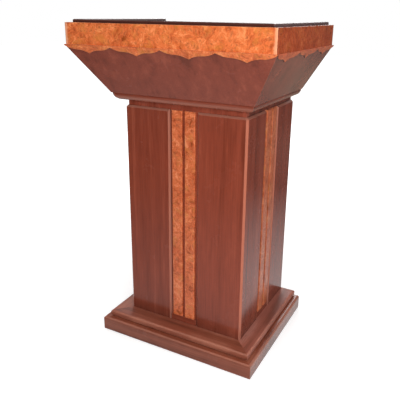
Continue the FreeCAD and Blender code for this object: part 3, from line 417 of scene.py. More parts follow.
@dataclass(frozen=True)
class Veneer(Finish):
    """Straight-grained mahogany veneer under lacquer, with ribbon figure, pores and paler edges.

    A mitre is the half width and the front depth of a board whose side borders run crosswise;
    a painted sheen tints the one at +X. The paler edges and bevels are part wear, part painted
    highlight, and corners and recesses get painted shade.
    """

    grain: Grain = Grain.Z
    dark: Colour = (0.140, 0.026, 0.012)
    middle: Colour = (0.218, 0.043, 0.022)
    light: Colour = (0.285, 0.064, 0.034)
    # Pale colour of rubbed edges and bevels: part wear, part painted highlight.
    worn_and_highlit: Colour = (0.400, 0.165, 0.110)
    pore: Colour = (0.045, 0.010, 0.006)
    # Painted shade: tint that darkens the wood in corners and recesses, by how closed in they are.
    corner: Colour = (0.62, 0.82, 0.98)
    ledge: Optional[Colour] = None
    mitre: Optional[Range] = None
    # Painted sheen: tint of the +X border of a mitred board.
    sheen_tint: Colour = WHITE
    # Share of the painted highlight on bevels and roundings.
    bevel_highlight: float = 0.0
    # Painted light: brightness of the whole board, raised for a board that should stand in more
    # light.
    painted_brightness: float = 1.0
    mottle: float = 0.16
    plain_mottle: float = 0.08
    gloss: float = 0.24
    gloss_spread: Range = (-0.04, 0.06)
    coat: float = 0.55
    coat_rough: float = 0.16
    specular: float = 0.12
    apart: float = 7.0
    bend: float = 0.02
    # Reach in metres of the painted shade in corners.
    shade_reach: float = 0.20
    tones: Point = (0.32, 0.5, 0.68)
    streaks: Stops = ((0.3, (0.78, 0.74, 0.72)), (0.7, (1.14, 1.12, 1.10)))
    rubbed: Span = (0.3, 0.62, 0.25, 0.75)
    open_from: Range = (0.58, 0.70)
    pore_dark: float = 0.45
    pore_rough: float = 0.1
    pore_depth: float = -0.6
    fibre_height: float = 0.35
    band_share: float = 0.62
    ribbon_share: float = 0.22
    drift: Figure = Figure(3.0, 2.0, length=1.2)
    bands: Figure = Figure(26.0, 4.0, 0.55, length=0.7)
    ribbon: Figure = Figure(95.0, 2.0, 0.5, 0.4, 5.0)
    fibre: Figure = Figure(520.0, 3.0, 0.6, length=9.0)
    pores: Figure = Figure(1500.0, 2.0, 0.6, length=70.0)
    cloud: Figure = Figure(4.5, 3.0, 0.55)
    scuffs: Figure = Figure(60.0, 4.0, 0.7)
    haze: Figure = Figure(11.0, 4.0, 0.6)

    def make(self) -> bpy.types.Material:
        """Build the material.

        Returns:
            The veneer's material.
        """
        g = Graph(self.name)
        own = g.shifted(self.apart)
        sheen_side = None
        if self.mitre is not None:
            borders, sheen_side = g.borders(self.mitre)
            own = g.crossed(own, borders)
        drift = g.noise(own, self.drift, self.grain, colour=True)
        bent = g.vector("ADD", own, g.scaled(self.bend, drift))
        fibre = g.noise(bent, self.fibre, self.grain)
        open_pore = g.span(g.noise(bent, self.pores, self.grain), *self.open_from, *FULL)
        tone = g.total(
            (g.noise(bent, self.bands, self.grain), self.band_share),
            (g.noise(bent, self.ribbon, self.grain), self.ribbon_share),
            (g.noise(own, self.cloud), self.mottle),
        )
        tone = g.calc("SUBTRACT", tone, self.mottle / 2.0 - self.plain_mottle)
        wood = g.ramp(tone, list(zip(self.tones, (self.dark, self.middle, self.light))), True)
        wood = g.tinted(wood, g.scaled(self.painted_brightness, g.ramp(fibre, self.streaks)))
        wood = g.mix(g.calc("MULTIPLY", open_pore, self.pore_dark), wood, self.pore)
        # Painted sheen on the +X border.
        if sheen_side is not None:
            wood = g.mix(sheen_side, wood, g.tinted(wood, self.sheen_tint))
        soft = g.rounded(self.edge_radius)
        haze = g.spread(g.noise(own, self.haze), self.gloss, self.gloss_spread)
        height = g.total((fibre, self.fibre_height), (open_pore, self.pore_depth))
        return g.surface(
            Base_Color=self.wear_and_painted_light(g, own, wood, soft),
            Roughness=g.calc("ADD", haze, g.calc("MULTIPLY", open_pore, self.pore_rough)),
            Normal=g.bump(height, self.relief, soft),
            Coat_Weight=self.coat,
            Coat_Roughness=self.coat_rough,
            Coat_IOR=LACQUER_IOR,
            Specular_IOR_Level=self.specular,
        )

    def wear_and_painted_light(self, g: Graph, own: Socket, wood: Socket, soft: Socket) -> Socket:
        """Colour with worn, painted-highlit edges, painted shade in corners and a redder ledge.

        Args:
            g: The graph to add to.
            own: The board's own coordinates.
            wood: The colour so far.
            soft: The normal that rounds the edges.

        Returns:
            The colour.
        """
        scuffs = g.span(g.noise(own, self.scuffs), *self.rubbed)
        # Rubbed edges, paler where scuffed: part wear, part painted highlight.
        wood = g.mix(g.calc("MULTIPLY", g.edge(soft), scuffs), wood, self.worn_and_highlit)
        # Painted highlight on bevels and roundings.
        if self.bevel_highlight > 0.0:
            wood = g.mix(g.calc("MULTIPLY", g.slanted(), self.bevel_highlight), wood, self.worn_and_highlit)
        # Painted shade: the wood darker in corners and recesses.
        wood = g.mix(g.sheltered(self.shade_reach), wood, g.tinted(wood, self.corner))
        if self.ledge is not None:
            wood = g.mix(g.level(), wood, self.ledge)
        return wood


@dataclass(frozen=True)
class Burl(Finish):
    """Burl veneer under gloss lacquer: warped clouds of orange and red with small dark eyes.

    Corners are the two ends of a board, beside which a painted highlight runs up. A facing is
    the way that a cut board looks, and its sawn edges then turn dark.
    """

    edge_radius: float = 0.0018
    relief: float = 0.00003
    deep: Colour = (0.300, 0.058, 0.012)
    red: Colour = (0.540, 0.105, 0.028)
    orange: Colour = (0.700, 0.160, 0.044)
    gold: Colour = (0.830, 0.270, 0.095)
    olive: Colour = (0.600, 0.210, 0.040)
    eye: Colour = (0.370, 0.072, 0.020)
    sawn: Colour = (0.110, 0.022, 0.010)
    # Painted shade: tint of a board that stands in less light, such as the strips and the sides.
    tone: Colour = WHITE
    # Painted highlight along the edges and beside the corners, and its share on the edges.
    edge_highlight: Colour = (0.900, 0.440, 0.250)
    edge_highlight_share: float = 0.60
    corners: Optional[Range] = None
    corner_fade: Span = (-11.0 * MM, -5.0 * MM, 0.0, 0.62)
    corner_wave: Range = (-2.0 * MM, 2.0 * MM)
    facing: Optional[Point] = None
    fine: float = 0.5
    gloss: Range = (0.24, 0.34)
    coat: float = 0.5
    coat_rough: float = 0.15
    specular: float = 0.12
    apart: float = 5.0
    tones: Sequence[float] = (0.37, 0.45, 0.52, 0.61)
    curls: Figure = Figure(300.0, 4.0, 0.7, 1.5)
    curl_tones: Stops = ((0.32, (0.74, 0.68, 0.62)), (0.66, (1.12, 1.14, 1.16)))
    waves: Figure = Figure(70.0, 3.0, 0.6)
    patches: Figure = Figure(30.0, 3.0, 0.6)
    patchy: Span = (0.54, 0.66, 0.0, 0.50)
    # Each eddy and how far it carries; each size of cloud and its share of the tone.
    eddies: Sequence[Tuple[Figure, float]] = (
        (Figure(13.0, 3.0, 0.55), 0.055), (Figure(48.0, 3.0, 0.55), 0.015)
    )
    clouds: Sequence[Tuple[Figure, float]] = (
        (Figure(19.0, 4.0, 0.55, 0.8), 0.38),
        (Figure(48.0, 4.0, 0.55, 1.6), 0.46),
        (Figure(150.0, 3.0, 0.6, 1.0), 0.16),
    )
    # Cells to the metre, the tints that hold an eye, and the darkness of its pupil.
    eye_sizes: Sequence[Tuple[float, Range, float]] = (
        (80.0, (0.50, 0.58), 0.80), (150.0, (0.55, 0.63), 0.60)
    )
    ring: Span = (0.34, 0.54, 0.35, 0.0)
    pupil: Range = (0.14, 0.42)

    def make(self) -> bpy.types.Material:
        """Build the material.

        Returns:
            The burl's material.
        """
        g = Graph(self.name)
        swirl = self.swirl(g)
        wood = self.eyed(g, swirl, self.clouded(g, swirl))
        curls = g.noise(swirl, self.curls)
        wood = g.mix(self.fine, wood, g.tinted(wood, g.ramp(curls, self.curl_tones)))
        # Painted shade of a board that stands in less light.
        wood = g.tinted(wood, self.tone)
        soft = g.rounded(self.edge_radius)
        # Painted highlight along the edges.
        wood = g.mix(g.calc("MULTIPLY", g.edge(soft), self.edge_highlight_share), wood, self.edge_highlight)
        # Painted highlight beside the upright corners.
        if self.corners is not None:
            wood = g.mix(self.corner_highlight(g), wood, self.edge_highlight)
        if self.facing is not None:
            wood = g.mix(g.turned_from(self.facing), wood, self.sawn)
        return g.surface(
            Base_Color=wood,
            Roughness=g.span(curls, *MOST, *self.gloss),
            Normal=g.bump(curls, self.relief, soft),
            Coat_Weight=self.coat,
            Coat_Roughness=self.coat_rough,
            Coat_IOR=LACQUER_IOR,
            Specular_IOR_Level=self.specular,
        )

    def corner_highlight(self, g: Graph) -> Socket:
        """Mask of the painted highlight beside the upright corners at both ends of a board.

        Args:
            g: The graph to add to.

        Returns:
            The output socket.
        """
        low, high = self.corners
        out = g.calc("ABSOLUTE", g.calc("SUBTRACT", g.split(g.place)[0], (low + high) / 2.0))
        wave = g.span(g.noise(g.place, self.waves), *MOST, *self.corner_wave)
        start, end, none, most = self.corner_fade
        reach = (high - low) / 2.0
        return g.span(g.calc("ADD", out, wave), reach + start, reach + end, none, most)

    def swirl(self, g: Graph) -> Socket:
        """Coordinates that wander in two sizes of eddy.

        Args:
            g: The graph to add to.

        Returns:
            The coordinates.
        """
        place = g.shifted(self.apart)
        for eddy, reach in self.eddies:
            place = g.vector("ADD", place, g.scaled(reach, g.noise(place, eddy, colour=True)))
        return place

    def clouded(self, g: Graph, swirl: Socket) -> Socket:
        """Ground colour, from red in the folds to gold on the crests, with olive patches.

        Args:
            g: The graph to add to.
            swirl: Coordinates from swirl().

        Returns:
            The colour.
        """
        tone = g.total(*((g.noise(swirl, cloud), share) for cloud, share in self.clouds))
        colours = (self.deep, self.red, self.orange, self.gold)
        wood = g.ramp(tone, list(zip(self.tones, colours)), True)
        patch = g.span(g.noise(swirl, self.patches), *self.patchy)
        return g.mix(patch, wood, self.olive)

    def eyed(self, g: Graph, swirl: Socket, wood: Socket) -> Socket:
        """Dark eyes with a pale ring, in two sizes.

        Args:
            g: The graph to add to.
            swirl: Coordinates from swirl().
            wood: The colour they lie in.

        Returns:
            The colour.
        """
        for scale, held, depth in self.eye_sizes:
            cells = g.cells(swirl, scale).outputs
            pick = g.add("SeparateColor", {0: cells["Color"]}).outputs[0]
            chosen = g.span(pick, *held, *FULL)
            far = cells["Distance"]
            ring = g.calc("MULTIPLY", g.span(far, *self.ring), chosen)
            pupil = g.calc("MULTIPLY", g.span(far, *self.pupil, depth, 0.0), chosen)
            wood = g.mix(pupil, g.mix(ring, wood, self.gold), self.eye)
        return wood


@dataclass(frozen=True)
class Plywood(Finish):
    """Plain pale inner timber, sanded and thinly lacquered."""

    edge_radius: float = 0.001
    grain: Grain = Grain.X
    dark: Colour = (0.340, 0.150, 0.070)
    light: Colour = (0.600, 0.315, 0.160)
    gloss: Range = (0.48, 0.62)
    coat: float = 0.2
    coat_rough: float = 0.35
    apart: float = 4.0
    lines: Figure = Figure(120.0, 5.0, 0.6, 0.3, 3.0)
    haze: Figure = Figure(30.0)

    def make(self) -> bpy.types.Material:
        """Build the material.

        Returns:
            The timber's material.
        """
        g = Graph(self.name)
        own = g.shifted(self.apart)
        lines = g.noise(own, self.lines, self.grain)
        return g.surface(
            Base_Color=g.ramp(lines, list(zip(MOST, (self.dark, self.light))), True),
            Roughness=g.span(g.noise(own, self.haze), *MOST, *self.gloss),
            Normal=g.bump(lines, self.relief, g.rounded(self.edge_radius)),
            Coat_Weight=self.coat,
            Coat_Roughness=self.coat_rough,
        )


@dataclass(frozen=True)
class Metal(Finish):
    """Metal with fine brushing and a little tarnish in patches."""

    edge_radius: float = 0.0005
    relief: float = 0.00002
    colour: Colour = (0.60, 0.60, 0.58)
    stain: Colour = (0.30, 0.29, 0.27)
    rough: float = 0.28
    rough_spread: Range = (-0.06, 0.10)
    stain_rough: float = 0.2
    stained: Span = (0.52, 0.72, 0.0, 0.55)
    grain: Grain = Grain.Z
    brushing: Figure = Figure(900.0, 3.0, 0.6, length=25.0)
    marks: Figure = Figure(140.0, 4.0, 0.65)

    def make(self) -> bpy.types.Material:
        """Build the material.

        Returns:
            The metal's material.
        """
        g = Graph(self.name)
        lines = g.noise(g.place, self.brushing, self.grain)
        dirt = g.span(g.noise(g.place, self.marks), *self.stained)
        worked = g.spread(lines, self.rough, self.rough_spread)
        return g.surface(
            Base_Color=g.mix(dirt, self.colour, self.stain),
            Metallic=1.0,
            Roughness=g.calc("ADD", worked, g.calc("MULTIPLY", dirt, self.stain_rough)),
            Normal=g.bump(lines, self.relief, g.rounded(self.edge_radius)),
        )


@dataclass(frozen=True)
class Moulded(Finish):
    """Moulded plastic or rubber with a fine grained skin."""

    edge_radius: float = 0.0006
    relief: float = 0.00008
    colour: Colour = (0.06, 0.035, 0.025)
    fade: float = 1.7
    faded: Span = (0.35, 0.7, 0.0, 0.6)
    rough: float = 0.5
    rough_spread: Range = (-0.08, 0.1)
    pitch: float = 1800.0
    cloud: Figure = Figure(160.0, 3.0, 0.6)

    def make(self) -> bpy.types.Material:
        """Build the material.

        Returns:
            The plastic's material.
        """
        g = Graph(self.name)
        skin = g.cells(g.place, self.pitch).outputs["Distance"]
        cloud = g.noise(g.place, self.cloud)
        pale = tuple(channel * self.fade for channel in self.colour)
        return g.surface(
            Base_Color=g.mix(g.span(cloud, *self.faded), self.colour, pale),
            Roughness=g.spread(cloud, self.rough, self.rough_spread),
            Normal=g.bump(skin, self.relief, g.rounded(self.edge_radius)),
        )


class Shop:
    """Makes each finish once and puts it on pieces."""

    GOLDEN = 0.6180339887
    CHANNELS: Point = (1.0, 1.7, 2.3)

    def __init__(self) -> None:
        """Start with nothing made."""
        self.made: Dict[str, bpy.types.Material] = {}
        self.count = 0

    def material(self, finish: Finish) -> bpy.types.Material:
        """The finish's material, made on first use.

        Args:
            finish: The finish.

        Returns:
            Its material.
        """
        if finish.name not in self.made:
            self.made[finish.name] = finish.make()
        return self.made[finish.name]

    def offset(self, piece: bpy.types.Object) -> None:
        """Give a piece its own place in the grain.

        Args:
            piece: The piece.
        """
        self.count += 1
        steps = (self.count * self.GOLDEN * channel for channel in self.CHANNELS)
        piece.color = (*(step % 1.0 for step in steps), 1.0)

    def dress(self, finish: Finish, *nodes: str) -> None:
        """Put a finish on pieces of the frame.

        Args:
            finish: The finish.
            *nodes: Names of the pieces.
        """
        material = self.material(finish)
        for name in nodes:
            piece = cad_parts[name]
            self.offset(piece)
            if not piece.data.materials:
                piece.data.materials.append(material)
            for index in range(len(piece.data.materials)):
                piece.data.materials[index] = material
            LOG.info("dressed %s in %s", name, finish.name)


# The finishes of this lectern.
UPRIGHT = Veneer("mahogany_upright")
# Painted light: the carcass front brighter, for the neck in the moulding's shade; milder painted
# shade in its corners.
CARCASS_BRIGHTENED = Veneer("mahogany_carcass", corner=(0.86, 0.92, 1.00), painted_brightness=1.35)
HOPPER = Veneer("mahogany_hopper", ledge=(0.640, 0.165, 0.055))
# The panels: a stronger painted highlight on their bevels.
PANEL = Veneer("mahogany_panel", worn_and_highlit=(0.540, 0.175, 0.105), bevel_highlight=0.62)
# Painted light: a brighter copy for the right front panel, which stands in more light.
PANEL_BRIGHTENED = replace(PANEL, name="mahogany_panel_light", painted_brightness=1.14)
# Mouldings and rails: milder painted shade in corners, and a painted highlight on bevels.
LENGTHWAYS = Veneer(
    "mahogany_lengthways", grain=Grain.X, corner=(0.86, 0.92, 1.00), bevel_highlight=0.35, mottle=0.45
)
DEPTHWAYS = replace(LENGTHWAYS, name="mahogany_depthways", grain=Grain.Y)
# The base: milder painted shade in corners, and a painted highlight on bevels.
BASE_LONG = Veneer(
    "base_lengthways",
    grain=Grain.X,
    dark=(0.150, 0.034, 0.016),
    middle=(0.262, 0.066, 0.034),
    light=(0.370, 0.118, 0.068),
    corner=(0.86, 0.94, 1.00),
    bevel_highlight=0.45,
    mottle=0.60,
)
BASE_DEEP = replace(BASE_LONG, name="base_depthways", grain=Grain.Y)
# The stage: a painted sheen on its +X border.
STAGE = replace(
    BASE_LONG, name="stage_mitred", sheen_tint=(1.35, 1.60, 2.00), coat_rough=0.50, gloss=0.40
)
# Painted shade: the burl strips darker than the band, the side strips darker still.
BURL_STRIP_SHADED = Burl("burl_strip", tone=(0.86, 0.88, 1.12))
BURL_SHADED_SIDE_STRIP = Burl("burl_side_strip", tone=(0.68, 0.74, 1.10))
BURL_FRONT = Burl("burl_front")
# Painted shade on the side band and the side aprons, which stand in less light.
BURL_SIDE_SHADED = Burl("burl_side", tone=(0.64, 0.48, 0.44), edge_highlight=(0.600, 0.220, 0.130))
# Each lip here is the colour of a painted edge highlight.
APRON_FRONT = Burl("burl_apron_front", edge_highlight=(0.740, 0.230, 0.090))
APRON_SIDE_SHADED = Burl("burl_apron_side", tone=(0.86, 0.66, 0.60), edge_highlight=(0.600, 0.150, 0.060))
DESK = Veneer(
    "mahogany_desk", grain=Grain.X, gloss=0.52, coat=0.06, coat_rough=0.40, specular=0.05
)
RIM_LONG = Veneer(
    "rim_lengthways",
    grain=Grain.X,
    dark=(0.045, 0.012, 0.008),
    middle=(0.075, 0.020, 0.013),
    light=(0.110, 0.034, 0.022),
    worn_and_highlit=(0.200, 0.085, 0.060),
)
# Painted sheen: the rims along the sides paler and greyer than the front rim.
RIM_DEEP_SHEEN = replace(
    RIM_LONG,
    name="rim_depthways",
    grain=Grain.Y,
    dark=(0.100, 0.050, 0.044),
    middle=(0.145, 0.078, 0.070),
    light=(0.195, 0.108, 0.097),
)
PLY = Plywood("inner_timber")
BRASS = Metal("lacquered_brass", colour=(0.78, 0.56, 0.25), stain=(0.42, 0.27, 0.10), rough=0.24)
STEEL = Metal("zinc_plated_steel", colour=(0.56, 0.56, 0.54), rough=0.34)
NICKEL = Metal("nickel_plate", colour=(0.74, 0.72, 0.68), stain=(0.46, 0.44, 0.41), rough=0.26)
BROWN_PLASTIC = Moulded("brown_plastic")
RUBBER = Moulded("dense_rubber", colour=(0.03, 0.028, 0.027), rough=0.75, pitch=900.0)


# ---- mesh code


def add_mesh(name: str, bm: bmesh.types.BMesh, smooth: float = 35.0) -> bpy.types.Object:
    """Turn a bmesh into a piece of the scene, smooth except at its creases.

    Args:
        name: The piece's name.
        bm: The mesh, in metres in the frame's axes; it is freed.
        smooth: Angle in degrees above which an edge stays sharp.

    Returns:
        The new piece.
    """
    bmesh.ops.remove_doubles(bm, verts=bm.verts, dist=TOUCHING)
    bmesh.ops.recalc_face_normals(bm, faces=bm.faces)
    mesh = bpy.data.meshes.new(name)
    bm.to_mesh(mesh)
    bm.free()
    mesh.polygons.foreach_set("use_smooth", [True] * len(mesh.polygons))
    mesh.set_sharp_from_angle(angle=math.radians(smooth))
    piece = bpy.data.objects.new(name, mesh)
    bpy.context.scene.collection.objects.link(piece)
    return piece


def axis_frame(start: Point, along: Point) -> Matrix:
    """Matrix that carries +Z to an axis, from where it begins and its direction."""
    turned = Vector(along).to_track_quat("Z", "Y").to_matrix().to_4x4()
    return Matrix.Translation(start) @ turned


def lathe(bm: bmesh.types.BMesh, profile: Sequence[Range], place: Matrix, sides: int = 48) -> None:
    """Turn a profile about an axis.

    Args:
        bm: The mesh to add to.
        profile: (radius, distance along the axis) of each point, from one end to the other.
        place: Matrix that carries +Z to the axis.
        sides: Facets round the axis.
    """
    rings: List[List[bmesh.types.BMVert]] = []
    for radius, level in profile:
        if radius < TOUCHING:
            rings.append([bm.verts.new(place @ Vector((0.0, 0.0, level)))] * sides)
            continue
        turn = [2.0 * math.pi * i / sides for i in range(sides)]
        rings.append([
            bm.verts.new(place @ Vector((radius * math.cos(t), radius * math.sin(t), level)))
            for t in turn
        ])
    for low, high in zip(rings, rings[1:]):
        for i in range(sides):
            j = (i + 1) % sides
            corners = [low[i], low[j], high[j], high[i]]
            unique = [v for n, v in enumerate(corners) if v not in corners[:n]]
            if len(unique) > 2:
                bm.faces.new(unique)


def arc(centre: Range, radius: Range, start: float, end: float, steps: int) -> List[Range]:
    """Points along an arc of an ellipse.

    Args:
        centre: Its centre.
        radius: Its two half axes.
        start: First angle in degrees.
        end: Last angle in degrees.
        steps: Number of chords.

    Returns:
        The points, both ends included.
    """
    angles = [math.radians(start + (end - start) * i / steps) for i in range(steps + 1)]
    return [
        (centre[0] + radius[0] * math.cos(a), centre[1] + radius[1] * math.sin(a))
        for a in angles
    ]


@dataclass(frozen=True)
class CrossScrew:
    """Countersunk screw with a cross recess; +Z runs from the point to the head's face.

    The cross is given in shares of the head and its sink, and the point in shank radii.
    """

    head: float
    length: float
    shank: float = 1.6 * MM
    sink: float = 1.6 * MM
    wing: float = 0.62
    arm: float = 0.16
    floor: float = 0.5
    recess: float = 0.8
    point: float = 3.0
    sides: int = 24

    def add(self, bm: bmesh.types.BMesh, place: Matrix) -> None:
        """Add the screw to a mesh.

        Args:
            bm: The mesh to add to.
            place: Matrix that carries the head's face to its place.
        """
        wing, arm = self.head * self.wing, self.head * self.arm
        plus = [(arm, arm), (arm, wing), (-arm, wing), (-arm, arm), (-wing, arm), (-wing, -arm),
                (-arm, -arm), (-arm, -wing), (arm, -wing), (arm, -arm), (wing, -arm), (wing, arm)]
        base = [(x * self.floor, y * self.floor) for x, y in plus]
        turns = [2.0 * math.pi * i / self.sides for i in range(self.sides)]
        round_head = [(self.head * math.cos(t), self.head * math.sin(t)) for t in turns]
        rim, mouth, floor = (
            [bm.verts.new(place @ Vector((x, y, level))) for x, y in outline]
            for outline, level in ((round_head, 0.0), (plus, 0.0), (base, -self.sink * self.recess))
        )
        edges = [bm.edges.new((ring[i], ring[(i + 1) % len(ring)]))
                 for ring in (rim, mouth) for i in range(len(ring))]
        bmesh.ops.triangle_fill(bm, use_beauty=True, use_dissolve=False, edges=edges)
        for i in range(len(plus)):
            j = (i + 1) % len(plus)
            bm.faces.new((mouth[i], mouth[j], floor[j], floor[i]))
        bm.faces.new(floor)
        tip = self.point * self.shank - self.length
        profile = [(self.head, 0.0), (self.shank, -self.sink), (self.shank, tip)]
        lathe(bm, [*profile, (0.0, -self.length)], place, self.sides)


# ---- sub-assemblies


@dataclass
class Plinth:
    """Rails on the floor, the stepped stage board on them, and what is out of sight below."""

    shop: Shop

    def build(self) -> None:
        """Dress the plinth and the stage."""
        self.shop.dress(BASE_LONG, "plinth_rail_front", "plinth_rail_rear")
        low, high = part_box("stage_board")
        # The stage's +X border gets a painted sheen.
        self.shop.dress(replace(STAGE, mitre=(high.x, -low.y)), "stage_board")
        self.shop.dress(BASE_DEEP, "plinth_rail_left", "plinth_rail_right")
        self.shop.dress(PLY, "plinth_corner_blocks")
        self.shop.dress(RUBBER, "base_pads")


@dataclass
class Column:
    """The box of the column, its applied panels and its pairs of burl strips."""

    shop: Shop
    faces: Sequence[str] = ("front_left", "front_right", "left_front", "left_rear",
                            "right_front", "right_rear")

    def build(self) -> None:
        """Dress the column."""
        self.shop.dress(CARCASS_BRIGHTENED, "carcass_front")
        self.shop.dress(UPRIGHT, "carcass_left", "carcass_right")
        self.shop.dress(PANEL, "panel_front_left", *(f"panel_{face}" for face in self.faces[2:]))
        self.shop.dress(PANEL_BRIGHTENED, "panel_front_right")
        self.shop.dress(BURL_STRIP_SHADED, *(f"strip_{face}" for face in self.faces[:2]))
        self.shop.dress(BURL_SHADED_SIDE_STRIP, *(f"strip_{face}" for face in self.faces[2:]))
        self.shop.dress(LENGTHWAYS, "strip_foot_blocks", "rear_header_rail", "carcass_bottom")


@dataclass
class Cupboard:
    """The rear door with its hinges, knob, lock and catch, and the shelf behind it.

    The knob's foot and neck are shares of its radius, and its other lengths of its reach. A
    screw is turned by so many radians for every metre of its height.
    """

    shop: Shop
    knob_foot: float = 0.62
    knob_neck: float = 0.46
    knob_plate: float = 0.05
    knob_waist: float = 0.30
    knob_cove: float = 0.22
    knob_belly: float = 0.66
    knob_dome: float = 0.34
    knob_undercut: float = -62.0
    screw_gap: float = 5.0 * MM
    screw_turn: float = 37.0

    def build(self) -> None:
        """Dress the cupboard."""
        self.shop.dress(UPRIGHT, "door")
        self.shop.dress(PLY, "inner_shelf", "shelf_cleats")
        self.shop.dress(BRASS, "hinge_frame_leaves", "hinge_door_leaves", "hinge_pins")
        self.shop.dress(STEEL, "knob_screw", "lock_cam", "lock_keeper", "catch_plate")
        self.shop.dress(NICKEL, "lock_barrel", "lock_plug")
        self.shop.dress(BROWN_PLASTIC, "catch_housing")
        self.turn_knob()
        self.drive_screws("hinge_frame_screws", "lectern", -1.0)
        self.drive_screws("hinge_door_screws", "door_leaf", 1.0)

    def turn_knob(self) -> None:
        """Turned brass knob with a cove under a domed head, in place of the frame's plain one."""
        low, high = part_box("door_knob")
        radius, reach = (high.x - low.x) / 2.0, high.y - low.y
        foot, neck = radius * self.knob_foot, radius * self.knob_neck
        cove = (foot - neck, self.knob_cove * reach)
        dome = (radius - neck, self.knob_dome * reach)
        profile = [(0.0, 0.0), (foot, 0.0), (foot, self.knob_plate * reach)]
        profile += arc((foot, self.knob_waist * reach), cove, 270.0, 180.0, 8)
        profile += arc((neck, self.knob_belly * reach), dome, self.knob_undercut, 90.0, 18)
        profile += [(0.0, reach)]
        bm = bmesh.new()
        centre = ((low.x + high.x) / 2.0, low.y, (low.z + high.z) / 2.0)
        lathe(bm, profile, axis_frame(centre, (0.0, 1.0, 0.0)))
        knob = add_mesh("turned_knob", bm)
        knob.data.materials.append(self.shop.material(BRASS))
        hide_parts("door_knob")
        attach(knob, "door_leaf")
        LOG.info("turned the door knob")

    def drive_screws(self, node: str, body: str, sense: float) -> None:
        """Cross-head screws in place of a node's plain ones, two to each leaf.

        Args:
            node: The node that they stand for.
            body: The body that they move with.
            sense: Way that their heads face along X.
        """
        low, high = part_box(node)
        screw = CrossScrew((high.y - low.y) / 2.0, high.x - low.x)
        face = high.x if sense > 0.0 else low.x
        middle = (low.y + high.y) / 2.0
        levels = self.screw_levels(node)
        bm = bmesh.new()
        for level in levels:
            place = axis_frame((face, middle, level), (sense, 0.0, 0.0))
            screw.add(bm, place @ Matrix.Rotation(level * self.screw_turn, 4, "Z"))
        screws = add_mesh(f"cross_{node}", bm)
        screws.data.materials.append(self.shop.material(STEEL))
        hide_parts(node)
        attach(screws, body)
        LOG.info("drove %d screws for %s", len(levels), node)

    def screw_levels(self, node: str) -> List[float]:
        """Heights of a node's screws, from the middles of its separate solids.

        Args:
            node: The node.

        Returns:
            The heights, from the lowest up.
        """
        heights = sorted(v.co.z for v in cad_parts[node].data.vertices)
        groups: List[List[float]] = [[heights[0]]]
        for height in heights[1:]:
            if height - groups[-1][-1] > self.screw_gap:
                groups.append([])
            groups[-1].append(height)
        return [(group[0] + group[-1]) / 2.0 for group in groups]


@dataclass
class Head:
    """The flared hopper, the burl band and aprons round it, the dark rim and the desk."""

    shop: Shop
    sides: Sequence[str] = ("front", "left", "right")
    level_within: float = 0.5 * MM

    def build(self) -> None:
        """Dress the head."""
        self.shop.dress(LENGTHWAYS, "neck_moulding_front")
        self.shop.dress(DEPTHWAYS, "neck_moulding_left", "neck_moulding_right")
        self.shop.dress(HOPPER, *(f"hopper_{side}" for side in self.sides))
        low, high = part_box("band_front")
        # The front band gets a painted highlight beside its corners.
        self.shop.dress(replace(BURL_FRONT, corners=(low.x, high.x)), "band_front")
        self.shop.dress(BURL_SIDE_SHADED, "band_left", "band_right")
        for side in self.sides:
            burl = APRON_FRONT if side == "front" else APRON_SIDE_SHADED
            apron = replace(burl, name=f"burl_apron_{side}", facing=self.slope(side))
            self.shop.dress(apron, f"apron_{side}")
        self.shop.dress(RIM_LONG, "rim_front", "book_stop")
        self.shop.dress(RIM_DEEP_SHEEN, "rim_left", "rim_right")
        self.shop.dress(DESK, "reading_desk", "hopper_floor")
        self.shop.dress(PLY, "desk_cleats")

    def slope(self, side: str) -> Point:
        """The way that one of the hopper's sloping boards faces, from its own corners.

        Args:
            side: The board's side.

        Returns:
            Its outward normal.
        """
        corners = [v.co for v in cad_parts[f"hopper_{side}"].data.vertices]
        axis, sign = {"front": (1, -1.0), "left": (0, -1.0), "right": (0, 1.0)}[side]
        levels = [corner.z for corner in corners]
        reach = [
            max(sign * c[axis] for c in corners if abs(c.z - level) < self.level_within)
            for level in (min(levels), max(levels))
        ]
        normal = Vector((0.0, 0.0, reach[0] - reach[1]))
        normal[axis] = sign * (max(levels) - min(levels))
        return tuple(normal.normalized())


# ---- studio


